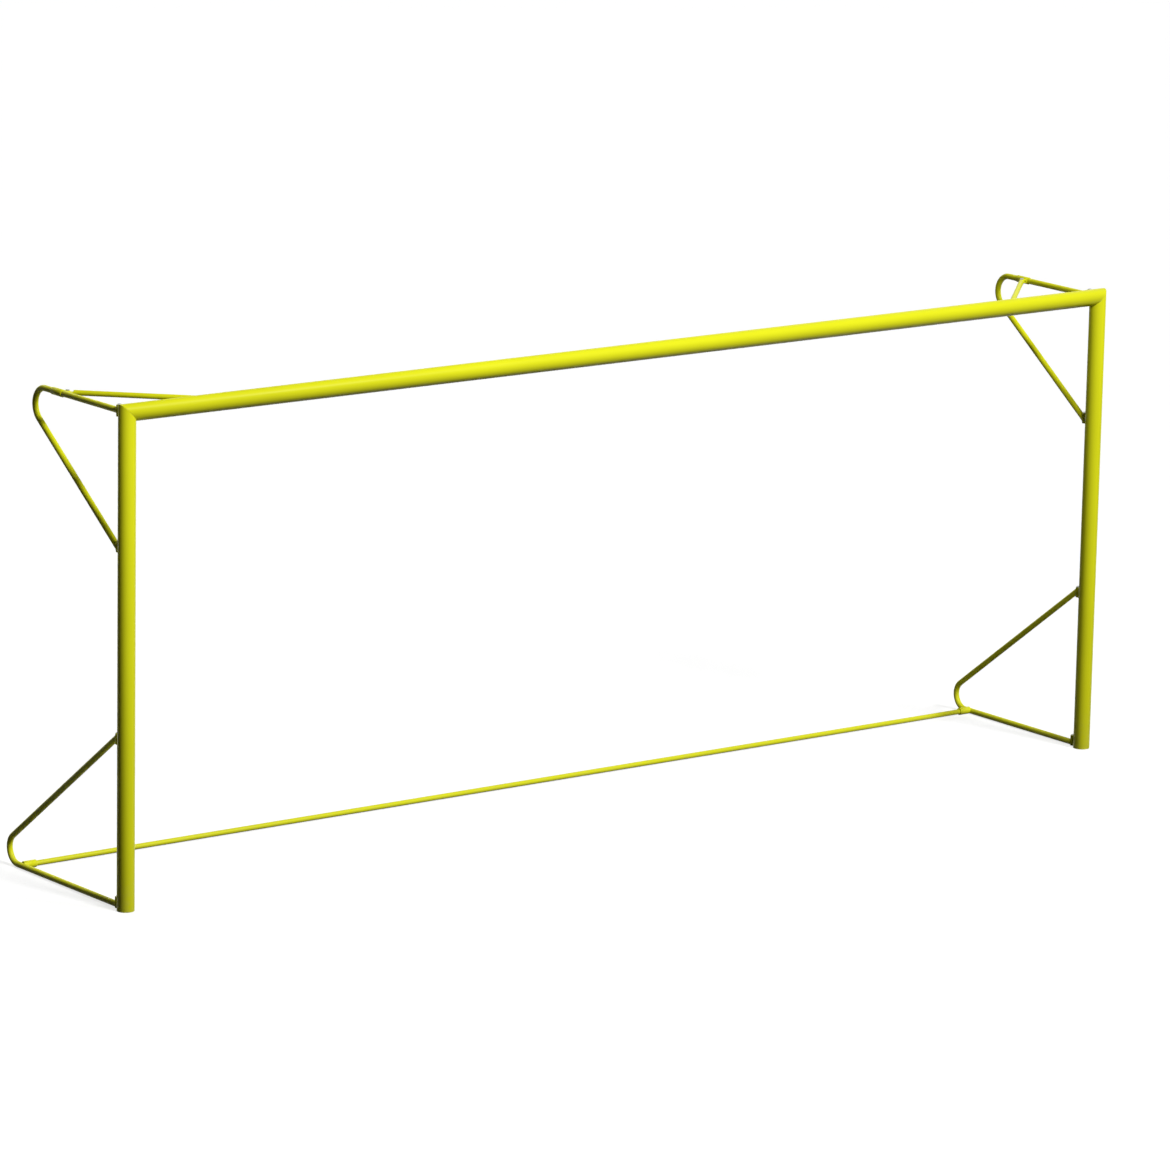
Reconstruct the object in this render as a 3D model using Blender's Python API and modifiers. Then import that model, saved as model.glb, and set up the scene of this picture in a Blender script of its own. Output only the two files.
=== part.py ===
# Beach soccer goal: a mitred front frame of round tube, four swinging net hoops,
# two corner braces and a ground bar. Metres, +Z up, +X along the crossbar, +Y to the rear.
# Places are written from the goal line: X = 0 midway between the posts, Y = 0 on the post axes.
import math

import bmesh
import bpy

# Clearances shared by the fits
SEAT_GAP = 0.0003
RUNNING_PLAY = 0.0003

# Front frame
INNER_WIDTH = 5.5
INNER_HEIGHT = 2.2
FRAME_RADIUS = 0.040
FRAME_WALL = 0.002
POST_X = INNER_WIDTH / 2 + FRAME_RADIUS
BAR_Z = INNER_HEIGHT + FRAME_RADIUS

# Corner joints inside the mitres, each held by two screws from behind
CORNER_LEG = 0.150
CORNER_WALL = 0.004
CORNER_RADIUS = FRAME_RADIUS - FRAME_WALL - SEAT_GAP
SCREW_FROM_CORNER = 0.100
SCREW_RADIUS = 0.004
SCREW_HEAD_RADIUS = 0.007
SCREW_HEAD_HEIGHT = 0.004
SCREW_CROWN_RADIUS = 0.004
SCREW_PAST_WALL = 0.003

# Foot caps in the open ends of the posts
FOOT_FLANGE = 0.003
FOOT_PLUG_LENGTH = 0.025
FOOT_PLUG_WALL = 0.003

# Net hoops: a depth is where the two straight legs would meet, behind the post axis
HOOP_RADIUS = 0.014
HOOP_WALL = 0.002
LOWER_DEPTH = 1.100
LOWER_HINGE_HEIGHT = 0.780
LOWER_BEND = 0.070
UPPER_DEPTH = 0.907
UPPER_HINGE_HEIGHT = 1.625
UPPER_BEND = 0.080
LOWER_RUN_Z = HOOP_RADIUS
UPPER_RUN_Z = BAR_Z

# Barrel hinges behind the posts
BARREL_RADIUS = HOOP_RADIUS
BARREL_HEIGHT = 0.040
PIN_RADIUS = 0.006
PIN_HEAD_RADIUS = 0.009
PIN_HEAD_HEIGHT = 0.005
PIN_END_RECESS = 0.0005
EAR_THICKNESS = 0.005
EAR_RADIUS = BARREL_RADIUS - SEAT_GAP
NECK_WIDTH = 0.016
WEB_WIDTH = 0.028
WEB_DEPTH = 0.007
SWING_CLEARANCE = 0.001
HINGE_Y = FRAME_RADIUS + WEB_DEPTH + SWING_CLEARANCE + BARREL_RADIUS
BRACKET_HEIGHT = BARREL_HEIGHT + 2 * (EAR_THICKNESS + SEAT_GAP)


# Angle that a hoop's tube turns through between its level run and its sloping leg
def bend_turn(depth, run_z, hinge_z):
    return math.pi - math.atan2(abs(hinge_z - run_z), depth - HINGE_Y)


# Distance behind the post axis at which a hoop's level run ends and its bend begins
def run_end(depth, run_z, hinge_z, bend):
    return depth - bend * math.tan(bend_turn(depth, run_z, hinge_z) / 2)


UPPER_RUN_END = run_end(UPPER_DEPTH, UPPER_RUN_Z, UPPER_HINGE_HEIGHT, UPPER_BEND)
LOWER_RUN_END = run_end(LOWER_DEPTH, LOWER_RUN_Z, LOWER_HINGE_HEIGHT, LOWER_BEND)
LOWER_REAR = LOWER_RUN_END + LOWER_BEND + HOOP_RADIUS

# The world origin lies on the ground, under the middle of the goal's depth
MIDDLE_Y = (LOWER_REAR - FRAME_RADIUS) / 2

# Corner braces, each on a sleeve of its upper hoop
BRACE_RADIUS = 0.0125
BRACE_WALL = 0.002
BRACE_ANGLE = math.radians(45)
TAB_THICKNESS = 0.006
TAB_INSET = 0.018
EYE_RADIUS = 0.012
EYE_TO_TUBE = 0.028
FOLD_CLEARANCE = 0.0025
SLEEVE_LENGTH = 0.080
SLEEVE_TO_BEND = 0.067
SLEEVE_FRONT = UPPER_RUN_END - SLEEVE_TO_BEND - SLEEVE_LENGTH
SLEEVE_WALL = 0.0027
SLEEVE_EAR = 0.005
SLEEVE_EAR_SETBACK = 0.002
SLEEVE_BORE = HOOP_RADIUS + SEAT_GAP
SLEEVE_RADIUS = SLEEVE_BORE + SLEEVE_WALL
PIVOT_OFFSET = SLEEVE_RADIUS + FOLD_CLEARANCE + BRACE_RADIUS
PIVOT_Y = SLEEVE_FRONT + SLEEVE_EAR_SETBACK + EYE_RADIUS

# Bolts of the braces, at the pivots and at the crossbar
BOLT_RADIUS = 0.005
BOLT_HEAD_RADIUS = 0.009
BOLT_HEAD_HEIGHT = 0.005
BOLT_END = 0.003
NUT_RADIUS = 0.009
NUT_HEIGHT = 0.008
NUT_FLANGE_RADIUS = 0.011
NUT_FLANGE_HEIGHT = 0.002

# Open hook at the front of a brace, and the crossbar lug that carries its bolt
HOOK_PLAY = 0.0004
HOOK_WIDTH = 0.026
HOOK_NOSE = 0.020
HOOK_NOSE_CUT = 0.006
HOOK_TIP = 0.004
HOOK_WALL = 0.014
HOOK_RELIEF = math.radians(3)
HOOK_TO_TUBE = 0.032
LUG_WIDTH = 0.030
LUG_THICKNESS = 0.006
LUG_WEB_DEPTH = 0.006
LUG_WEB_RISE = 0.016
LUG_EDGE = 0.013
BOLT_SETBACK = 0.026
LUG_BOLT_Y = FRAME_RADIUS + BOLT_SETBACK
BRACE_LENGTH = (PIVOT_Y - LUG_BOLT_Y) / math.cos(BRACE_ANGLE)
LUG_BOLT_X = POST_X - PIVOT_OFFSET - BRACE_LENGTH * math.sin(BRACE_ANGLE)

# Ground bar, loose in a socket on each lower hoop
GROUND_RADIUS = 0.0125
GROUND_WALL = 0.002
GROUND_TO_BEND = 0.037
GROUND_Y = LOWER_RUN_END - GROUND_TO_BEND
GROUND_ENGAGED = 0.004
SOCKET_PLAY = 0.001
SOCKET_WALL = 0.004
SOCKET_REACH = 0.070
SOCKET_START = 0.006
SOCKET_BORE = GROUND_RADIUS + SOCKET_PLAY
SOCKET_RADIUS = SOCKET_BORE + SOCKET_WALL
SOCKET_Z = SOCKET_RADIUS
GROUND_Z = SOCKET_Z - SOCKET_PLAY + SEAT_GAP
GROUND_HALF = POST_X - SOCKET_REACH + GROUND_ENGAGED
PLUG_INSERT = 0.025
PLUG_TIP_RADIUS = 0.0075
PLUG_TIP_GAP = 0.002
PLUG_NOSE = SOCKET_REACH - GROUND_ENGAGED - HOOP_RADIUS - PLUG_TIP_GAP

# Facets around each kind of round piece
FRAME_SIDES = 32
HINGE_SIDES = 20
PIN_SIDES = 16
HEX_SIDES = 6
TUBE_RESOLUTION = 6
BEND_STEPS = 8
EDGE_STEPS = 6

# Cutters reach this far past what they cut
PAST = 0.030

WELD_DISTANCE = 0.00001
SHARP_ANGLE = math.radians(35)
SIDES = {"left": -1, "right": 1}
UPRIGHT = (0, 0, 0)
TO_REAR = (math.radians(-90), 0, 0)

YELLOW_PAINT = ((0.72, 0.74, 0.02), 0.28, 0.0)
YELLOW_PLASTIC = ((0.66, 0.68, 0.03), 0.45, 0.0)
ZINC_STEEL = ((0.55, 0.56, 0.57), 0.35, 1.0)
CAST_ALUMINIUM = ((0.60, 0.61, 0.62), 0.50, 1.0)
BLACK_PLASTIC = ((0.03, 0.03, 0.03), 0.50, 0.0)


def make_collection(name):
    collection = bpy.data.collections.new(name)
    bpy.context.scene.collection.children.link(collection)
    return collection


for old_object in list(bpy.data.objects):
    bpy.data.objects.remove(old_object, do_unlink=True)
parts = make_collection("beach_soccer_goal")
cutters = make_collection("goal_cutters")


def make_material(name, finish):
    colour, roughness, metallic = finish
    material = bpy.data.materials.new(name)
    material.use_nodes = True
    material.diffuse_color = (*colour, 1.0)
    shader = material.node_tree.nodes["Principled BSDF"]
    shader.inputs["Base Color"].default_value = (*colour, 1.0)
    shader.inputs["Roughness"].default_value = roughness
    shader.inputs["Metallic"].default_value = metallic
    return material


def place(item, parent, location, rotation):
    item.parent = parent
    item.location = location
    item.rotation_euler = rotation


def add_empty(name, parent, location):
    item = bpy.data.objects.new(name, None)
    item.empty_display_size = 0.1
    parts.objects.link(item)
    place(item, parent, location, UPRIGHT)
    return item


def add_part(name, mesh, finish, parent, location=(0, 0, 0), rotation=UPRIGHT):
    item = bpy.data.objects.new(name, mesh)
    parts.objects.link(item)
    place(item, parent, location, rotation)
    item.material_slots[0].link = "OBJECT"
    item.material_slots[0].material = make_material(name, finish)
    return item


def add_cutter(name, mesh, parent, location=(0, 0, 0), rotation=UPRIGHT):
    item = bpy.data.objects.new(name, mesh)
    cutters.objects.link(item)
    place(item, parent, location, rotation)
    item.hide_render = True
    item.display_type = "WIRE"
    return item


def boolean(item, other, operation):
    modifier = item.modifiers.new(operation.lower(), "BOOLEAN")
    modifier.operation = operation
    modifier.solver = "EXACT"
    modifier.object = other


def cut(item, *others):
    for other in others:
        boolean(item, other, "DIFFERENCE")


def weld_on(item, *others):
    for other in others:
        boolean(item, other, "UNION")


def prepare(mesh):
    mesh.shade_smooth()
    mesh.set_sharp_from_angle(angle=SHARP_ANGLE)
    mesh.materials.clear()
    mesh.materials.append(None)
    return mesh


# Mesh of a temporary object with its modifiers applied and its seams welded
def finished_mesh(item):
    bpy.context.scene.collection.objects.link(item)
    graph = bpy.context.evaluated_depsgraph_get()
    mesh = bpy.data.meshes.new_from_object(item.evaluated_get(graph), depsgraph=graph)
    bpy.data.objects.remove(item, do_unlink=True)
    work = bmesh.new()
    work.from_mesh(mesh)
    bmesh.ops.remove_doubles(work, verts=work.verts, dist=WELD_DISTANCE)
    work.to_mesh(mesh)
    work.free()
    return prepare(mesh)


# Profile points are (radius, height), from the top down the outer side
def turned_mesh(name, profile, steps, closed=False):
    mesh = bpy.data.meshes.new(name)
    edges = [(i, i + 1) for i in range(len(profile) - 1)]
    if closed:
        edges.append((len(profile) - 1, 0))
    mesh.from_pydata([(radius, 0, height) for radius, height in profile], edges, [])
    item = bpy.data.objects.new(name, mesh)
    screw = item.modifiers.new("turn", "SCREW")
    screw.steps = steps
    screw.render_steps = steps
    screw.use_merge_vertices = True
    screw.merge_threshold = WELD_DISTANCE
    return finished_mesh(item)


# Solid rod along Z
def rod_mesh(name, radius, bottom, top, steps):
    work = bmesh.new()
    bmesh.ops.create_cone(
        work, segments=steps, radius1=radius, radius2=radius, depth=top - bottom, cap_ends=True
    )
    bmesh.ops.translate(work, verts=work.verts, vec=(0, 0, (top + bottom) / 2))
    mesh = bpy.data.meshes.new(name)
    work.to_mesh(mesh)
    work.free()
    return prepare(mesh)


def ring_mesh(name, radius, bore, bottom, top, steps):
    profile = [(radius, top), (radius, bottom), (bore, bottom), (bore, top)]
    return turned_mesh(name, profile, steps, closed=True)


def box_mesh(name, low, high):
    work = bmesh.new()
    bmesh.ops.create_cube(work, size=1.0)
    for vertex in work.verts:
        for axis in range(3):
            middle = (low[axis] + high[axis]) / 2
            vertex.co[axis] = middle + vertex.co[axis] * (high[axis] - low[axis])
    mesh = bpy.data.meshes.new(name)
    work.to_mesh(mesh)
    work.free()
    mesh.materials.append(None)
    return mesh


# Flat outline in X and Y, with its thickness centred on Z = 0
def flat_mesh(name, outline, thickness):
    curve = bpy.data.curves.new(name, "CURVE")
    curve.dimensions = "2D"
    curve.fill_mode = "BOTH"
    curve.extrude = thickness / 2
    spline = curve.splines.new("POLY")
    spline.points.add(len(outline) - 1)
    for point, (x, y) in zip(spline.points, outline):
        point.co = (x, y, 0, 1)
    spline.use_cyclic_u = True
    return finished_mesh(bpy.data.objects.new(name, curve))


# Open-ended tube along a line of points, its wall inside the outer radius
def tube_mesh(name, line, radius, wall):
    curve = bpy.data.curves.new(name, "CURVE")
    curve.dimensions = "3D"
    curve.fill_mode = "FULL"
    curve.bevel_depth = radius
    curve.bevel_resolution = TUBE_RESOLUTION
    spline = curve.splines.new("POLY")
    spline.points.add(len(line) - 1)
    for point, spot in zip(spline.points, line):
        point.co = (*spot, 1)
    skin = finished_mesh(bpy.data.objects.new(name, curve))
    item = bpy.data.objects.new(name, skin)
    shell = item.modifiers.new("wall", "SOLIDIFY")
    shell.thickness = wall
    shell.offset = -1
    return finished_mesh(item)


def arc_points(radius, start, end, steps):
    points = []
    for step in range(steps + 1):
        angle = start + (end - start) * step / steps
        points.append((radius * math.cos(angle), radius * math.sin(angle)))
    return points


# Screw seen from its head: the head's underside is at height 0
def screw_mesh():
    tip = -(SEAT_GAP + FRAME_WALL + SEAT_GAP + CORNER_WALL + SCREW_PAST_WALL)
    profile = [
        (0, SCREW_HEAD_HEIGHT),
        (SCREW_CROWN_RADIUS, SCREW_HEAD_HEIGHT),
        (SCREW_HEAD_RADIUS, SCREW_HEAD_HEIGHT / 2),
        (SCREW_HEAD_RADIUS, 0),
        (SCREW_RADIUS, 0),
        (SCREW_RADIUS, tip),
        (0, tip),
    ]
    return turned_mesh("corner_screw", profile, PIN_SIDES)


def foot_cap_mesh():
    inside = CORNER_RADIUS - FOOT_PLUG_WALL
    rim = FOOT_FLANGE + FOOT_PLUG_LENGTH
    profile = [
        (0, FOOT_FLANGE),
        (inside, FOOT_FLANGE),
        (inside, rim),
        (CORNER_RADIUS, rim),
        (CORNER_RADIUS, FOOT_FLANGE),
        (FRAME_RADIUS, FOOT_FLANGE),
        (FRAME_RADIUS, 0),
        (0, 0),
    ]
    return turned_mesh("foot_cap", profile, FRAME_SIDES)


# Right-angled elbow at its own origin: X is square to the mitre, and one leg runs down the post
def elbow_mesh(name, radius, bore, leg, side):
    if bore:
        straight = ring_mesh(name, radius, bore, -leg, radius + PAST, FRAME_SIDES)
    else:
        straight = rod_mesh(name, radius, -leg, radius + PAST, FRAME_SIDES)
    tilt = math.radians(45) * side
    work = bmesh.new()
    work.from_mesh(straight)
    for vertex in work.verts:
        x, y, z = vertex.co
        across = x * math.cos(tilt) - z * math.sin(tilt)
        along = x * math.sin(tilt) + z * math.cos(tilt)
        vertex.co = (across, y, along)
    everything = work.verts[:] + work.edges[:] + work.faces[:]
    bmesh.ops.bisect_plane(
        work, geom=everything, plane_co=(0, 0, 0), plane_no=(side, 0, 0), clear_inner=True
    )
    work.to_mesh(straight)
    work.free()
    item = bpy.data.objects.new(name, straight)
    mirror = item.modifiers.new("mitre", "MIRROR")
    mirror.use_axis = (True, False, False)
    mirror.merge_threshold = WELD_DISTANCE
    return finished_mesh(item)


# The lower hoop bends up and the upper hoop bends down; Y is measured from the hinge axis
def hoop_line(depth, run_z, hinge_z, bend):
    upward = math.copysign(1, hinge_z - run_z)
    turn = bend_turn(depth, run_z, hinge_z)
    bend_y = run_end(depth, run_z, hinge_z, bend) - HINGE_Y
    line = [(0, 0, run_z)]
    for step in range(BEND_STEPS + 1):
        angle = turn * step / BEND_STEPS
        y = bend_y + bend * math.sin(angle)
        z = run_z + upward * bend * (1 - math.cos(angle))
        line.append((0, y, z))
    line.append((0, 0, hinge_z))
    return line


# A sloping leg's barrel is centred where the leg meets the barrel's rear
def sloping_barrel(depth, run_z, hinge_z):
    return hinge_z + (run_z - hinge_z) / (depth - HINGE_Y) * BARREL_RADIUS


# Seen from above: a web against the post, a neck, and a round ear over the barrel
def bracket_outline():
    half_web = WEB_WIDTH / 2
    half_neck = NECK_WIDTH / 2
    web_front = FRAME_RADIUS / 2 - HINGE_Y
    web_rear = FRAME_RADIUS + WEB_DEPTH - HINGE_Y
    start = -math.acos(half_neck / EAR_RADIUS)
    outline = [(-half_web, web_front), (half_web, web_front)]
    outline += [(half_web, web_rear), (half_neck, web_rear)]
    outline += arc_points(EAR_RADIUS, start, math.pi - start, EDGE_STEPS * 2)
    outline += [(-half_neck, web_rear), (-half_web, web_rear)]
    return outline


# Seen from above with the crossbar bolt at the origin and the brace coming from -X. The notch
# opens between +Y, where the fold takes it, and the way the hoop's swing takes it.
def hook_outline(side):
    half = HOOK_WIDTH / 2
    notch = BOLT_RADIUS + HOOK_PLAY
    across = (math.sin(BRACE_ANGLE), -math.cos(BRACE_ANGLE))
    away = (math.cos(BRACE_ANGLE), math.sin(BRACE_ANGLE))
    wall_tip = [across[i] * notch + away[i] * HOOK_WALL for i in range(2)]
    root = -HOOK_TO_TUBE - TAB_INSET
    outline = [(root, -half), (HOOK_NOSE - HOOK_NOSE_CUT, -half)]
    outline += [(HOOK_NOSE, HOOK_NOSE_CUT - half), (HOOK_NOSE, HOOK_TIP), tuple(wall_tip)]
    outline += arc_points(notch, BRACE_ANGLE - math.pi / 2, -math.pi, EDGE_STEPS)
    outline += [(-notch - half * math.tan(HOOK_RELIEF), half), (root, half)]
    return [(x, side * y) for x, y in outline]


# Round eye at the origin, with its tab running to +X
def eye_outline():
    half = math.pi / 2
    tab_end = EYE_TO_TUBE + TAB_INSET
    outline = arc_points(EYE_RADIUS, half, 3 * half, EDGE_STEPS)
    return outline + [(tab_end, -EYE_RADIUS), (tab_end, EYE_RADIUS)]


def add_front_frame(goal):
    bore = FRAME_RADIUS - FRAME_WALL
    post_bottom = FOOT_FLANGE + SEAT_GAP
    top = BAR_Z + FRAME_RADIUS + PAST
    half_bar = POST_X + FRAME_RADIUS + PAST
    post_mesh = ring_mesh("post", FRAME_RADIUS, bore, post_bottom, top, FRAME_SIDES)
    bar_mesh = ring_mesh("crossbar", FRAME_RADIUS, bore, -half_bar, half_bar, FRAME_SIDES)
    hole_end = FRAME_RADIUS + PAST
    hole_mesh = rod_mesh("hole", SCREW_RADIUS + RUNNING_PLAY, 0, hole_end, PIN_SIDES)
    fastener_mesh = screw_mesh()
    cap_mesh = foot_cap_mesh()
    half_block = 2 * (FRAME_RADIUS + PAST)
    block_mesh = box_mesh("mitre_block", [-half_block] * 3, [half_block] * 3)
    block_shift = (half_block - SEAT_GAP / 2) * math.sqrt(0.5)
    sideways = (0, math.radians(90), 0)
    diagonal = (0, math.radians(45), 0)
    crossbar = add_part("crossbar", bar_mesh, YELLOW_PAINT, goal, (0, 0, BAR_Z), sideways)
    for name, side in SIDES.items():
        x = side * POST_X
        upright = add_part(name + "_post", post_mesh, YELLOW_PAINT, goal, (x, 0, 0))
        # The mitre runs from the corner's inside bottom to its outside top
        inward = (x - side * block_shift, 0, BAR_Z + block_shift)
        outward = (x + side * block_shift, 0, BAR_Z - block_shift)
        cut(upright, add_cutter(name + "_post_mitre", block_mesh, goal, inward, diagonal))
        cut(crossbar, add_cutter(name + "_bar_mitre", block_mesh, goal, outward, diagonal))
        elbow = elbow_mesh("elbow", CORNER_RADIUS, CORNER_RADIUS - CORNER_WALL, CORNER_LEG, side)
        tilt = (0, math.radians(45) * side, 0)
        joint = add_part(name + "_corner_joint", elbow, CAST_ALUMINIUM, goal, (x, 0, BAR_Z), tilt)
        screws = {
            "post": (upright, x, BAR_Z - SCREW_FROM_CORNER),
            "bar": (crossbar, x - side * SCREW_FROM_CORNER, BAR_Z),
        }
        for member, (tube, screw_x, screw_z) in screws.items():
            hole_name = f"{name}_{member}_screw_hole"
            hole = add_cutter(hole_name, hole_mesh, goal, (screw_x, 0, screw_z), TO_REAR)
            cut(tube, hole)
            cut(joint, hole)
            seat = (screw_x, FRAME_RADIUS + SEAT_GAP, screw_z)
            screw_name = f"{name}_corner_{member}_screw"
            add_part(screw_name, fastener_mesh, ZINC_STEEL, goal, seat, TO_REAR)
        add_part(name + "_foot_cap", cap_mesh, YELLOW_PLASTIC, goal, (x, 0, 0))


HOOPS = {
    "upper": {
        "line": (UPPER_DEPTH, UPPER_RUN_Z, UPPER_HINGE_HEIGHT, UPPER_BEND),
        "top": UPPER_RUN_Z,
        "bottom": sloping_barrel(UPPER_DEPTH, UPPER_RUN_Z, UPPER_HINGE_HEIGHT),
    },
    "lower": {
        "line": (LOWER_DEPTH, LOWER_RUN_Z, LOWER_HINGE_HEIGHT, LOWER_BEND),
        "top": sloping_barrel(LOWER_DEPTH, LOWER_RUN_Z, LOWER_HINGE_HEIGHT),
        "bottom": BRACKET_HEIGHT / 2,
    },
}


# Brackets, pins, barrels and hoops of one side; returns the empties on the hinge axis
def add_hoops(goal, name, side):
    pivot_line = add_empty(name + "_hinge_line", goal, (side * POST_X, HINGE_Y, 0))
    reach = BAR_Z + BRACKET_HEIGHT + PAST
    bore = PIN_RADIUS + RUNNING_PLAY
    post_mesh = rod_mesh("post_space", FRAME_RADIUS + SEAT_GAP, -PAST, BAR_Z, FRAME_SIDES)
    post_space = add_cutter(name + "_post_space", post_mesh, goal, (side * POST_X, 0, 0))
    leg = FRAME_RADIUS + BRACKET_HEIGHT
    corner_mesh = elbow_mesh("corner_space", FRAME_RADIUS + SEAT_GAP, 0, leg, side)
    tilt = (0, math.radians(45) * side, 0)
    corner = (side * POST_X, 0, BAR_Z)
    corner_space = add_cutter(name + "_corner_space", corner_mesh, goal, corner, tilt)
    bore_mesh = rod_mesh("pin_space", bore, -PAST, reach, PIN_SIDES)
    pin_space = add_cutter(name + "_pin_space", bore_mesh, pivot_line)
    cope_mesh = rod_mesh("barrel_space", BARREL_RADIUS + SEAT_GAP, -PAST, reach, HINGE_SIDES)
    barrel_space = add_cutter(name + "_barrel_space", cope_mesh, pivot_line)
    half_slot = BARREL_HEIGHT / 2 + SEAT_GAP
    slot_side = BARREL_RADIUS + PAST
    slot_front = FRAME_RADIUS + WEB_DEPTH - HINGE_Y
    slot_low = (-slot_side, slot_front, -half_slot)
    slot_mesh = box_mesh("barrel_slot", slot_low, (slot_side, slot_side, half_slot))
    bracket_mesh = flat_mesh("bracket", bracket_outline(), BRACKET_HEIGHT)
    half = BARREL_HEIGHT / 2
    barrel_mesh = ring_mesh("barrel", BARREL_RADIUS, bore, -half, half, HINGE_SIDES)
    head = BRACKET_HEIGHT / 2 + SEAT_GAP
    end = PIN_END_RECESS - BRACKET_HEIGHT / 2
    pin_profile = [(0, head + PIN_HEAD_HEIGHT), (PIN_HEAD_RADIUS, head + PIN_HEAD_HEIGHT)]
    pin_profile += [(PIN_HEAD_RADIUS, head), (PIN_RADIUS, head), (PIN_RADIUS, end), (0, end)]
    pin_mesh = turned_mesh("pin", pin_profile, PIN_SIDES)
    hinges = {}
    for level, sizes in HOOPS.items():
        title = f"{name}_{level}"
        hinge = add_empty(title + "_hinge", pivot_line, (0, 0, 0))
        hinges[level] = hinge
        tube = tube_mesh(title + "_hoop", hoop_line(*sizes["line"]), HOOP_RADIUS, HOOP_WALL)
        cut(add_part(title + "_hoop", tube, YELLOW_PAINT, hinge), barrel_space)
        for end_name in ("top", "bottom"):
            spot = (0, 0, sizes[end_name])
            label = f"{title}_{end_name}"
            bracket = add_part(label + "_bracket", bracket_mesh, YELLOW_PAINT, pivot_line, spot)
            slot = add_cutter(label + "_slot", slot_mesh, pivot_line, spot)
            at_corner = sizes[end_name] == BAR_Z
            cut(bracket, slot, corner_space if at_corner else post_space, pin_space)
            add_part(label + "_barrel", barrel_mesh, YELLOW_PAINT, hinge, spot)
            add_part(label + "_pin", pin_mesh, ZINC_STEEL, pivot_line, spot)
    return hinges


# Flanged nut that stands on its seat, or hangs below it when flipped
def add_nut(name, parent, location, flipped):
    flange = rod_mesh("nut_flange", NUT_FLANGE_RADIUS, 0, NUT_FLANGE_HEIGHT, PIN_SIDES)
    middle = NUT_FLANGE_HEIGHT / 2
    top = NUT_FLANGE_HEIGHT + NUT_HEIGHT
    hexagon = rod_mesh("nut_hexagon", NUT_RADIUS, middle, top, HEX_SIDES)
    hole = rod_mesh("nut_bore", BOLT_RADIUS + RUNNING_PLAY, -PAST, PAST, PIN_SIDES)
    rotation = (math.pi if flipped else 0, 0, 0)
    nut = add_part(name, flange, ZINC_STEEL, parent, location, rotation)
    weld_on(nut, add_cutter(name + "_hexagon", hexagon, parent, location, rotation))
    cut(nut, add_cutter(name + "_bore", hole, parent, location, rotation))


# Bolt with its head above height 0; its nut's seat is a given distance below
def bolt_mesh(name, to_nut):
    end = -(to_nut + NUT_FLANGE_HEIGHT + NUT_HEIGHT + BOLT_END)
    profile = [(0, BOLT_HEAD_HEIGHT), (BOLT_HEAD_RADIUS, BOLT_HEAD_HEIGHT), (BOLT_HEAD_RADIUS, 0)]
    profile += [(BOLT_RADIUS, 0), (BOLT_RADIUS, end), (0, end)]
    return turned_mesh(name, profile, PIN_SIDES)


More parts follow.
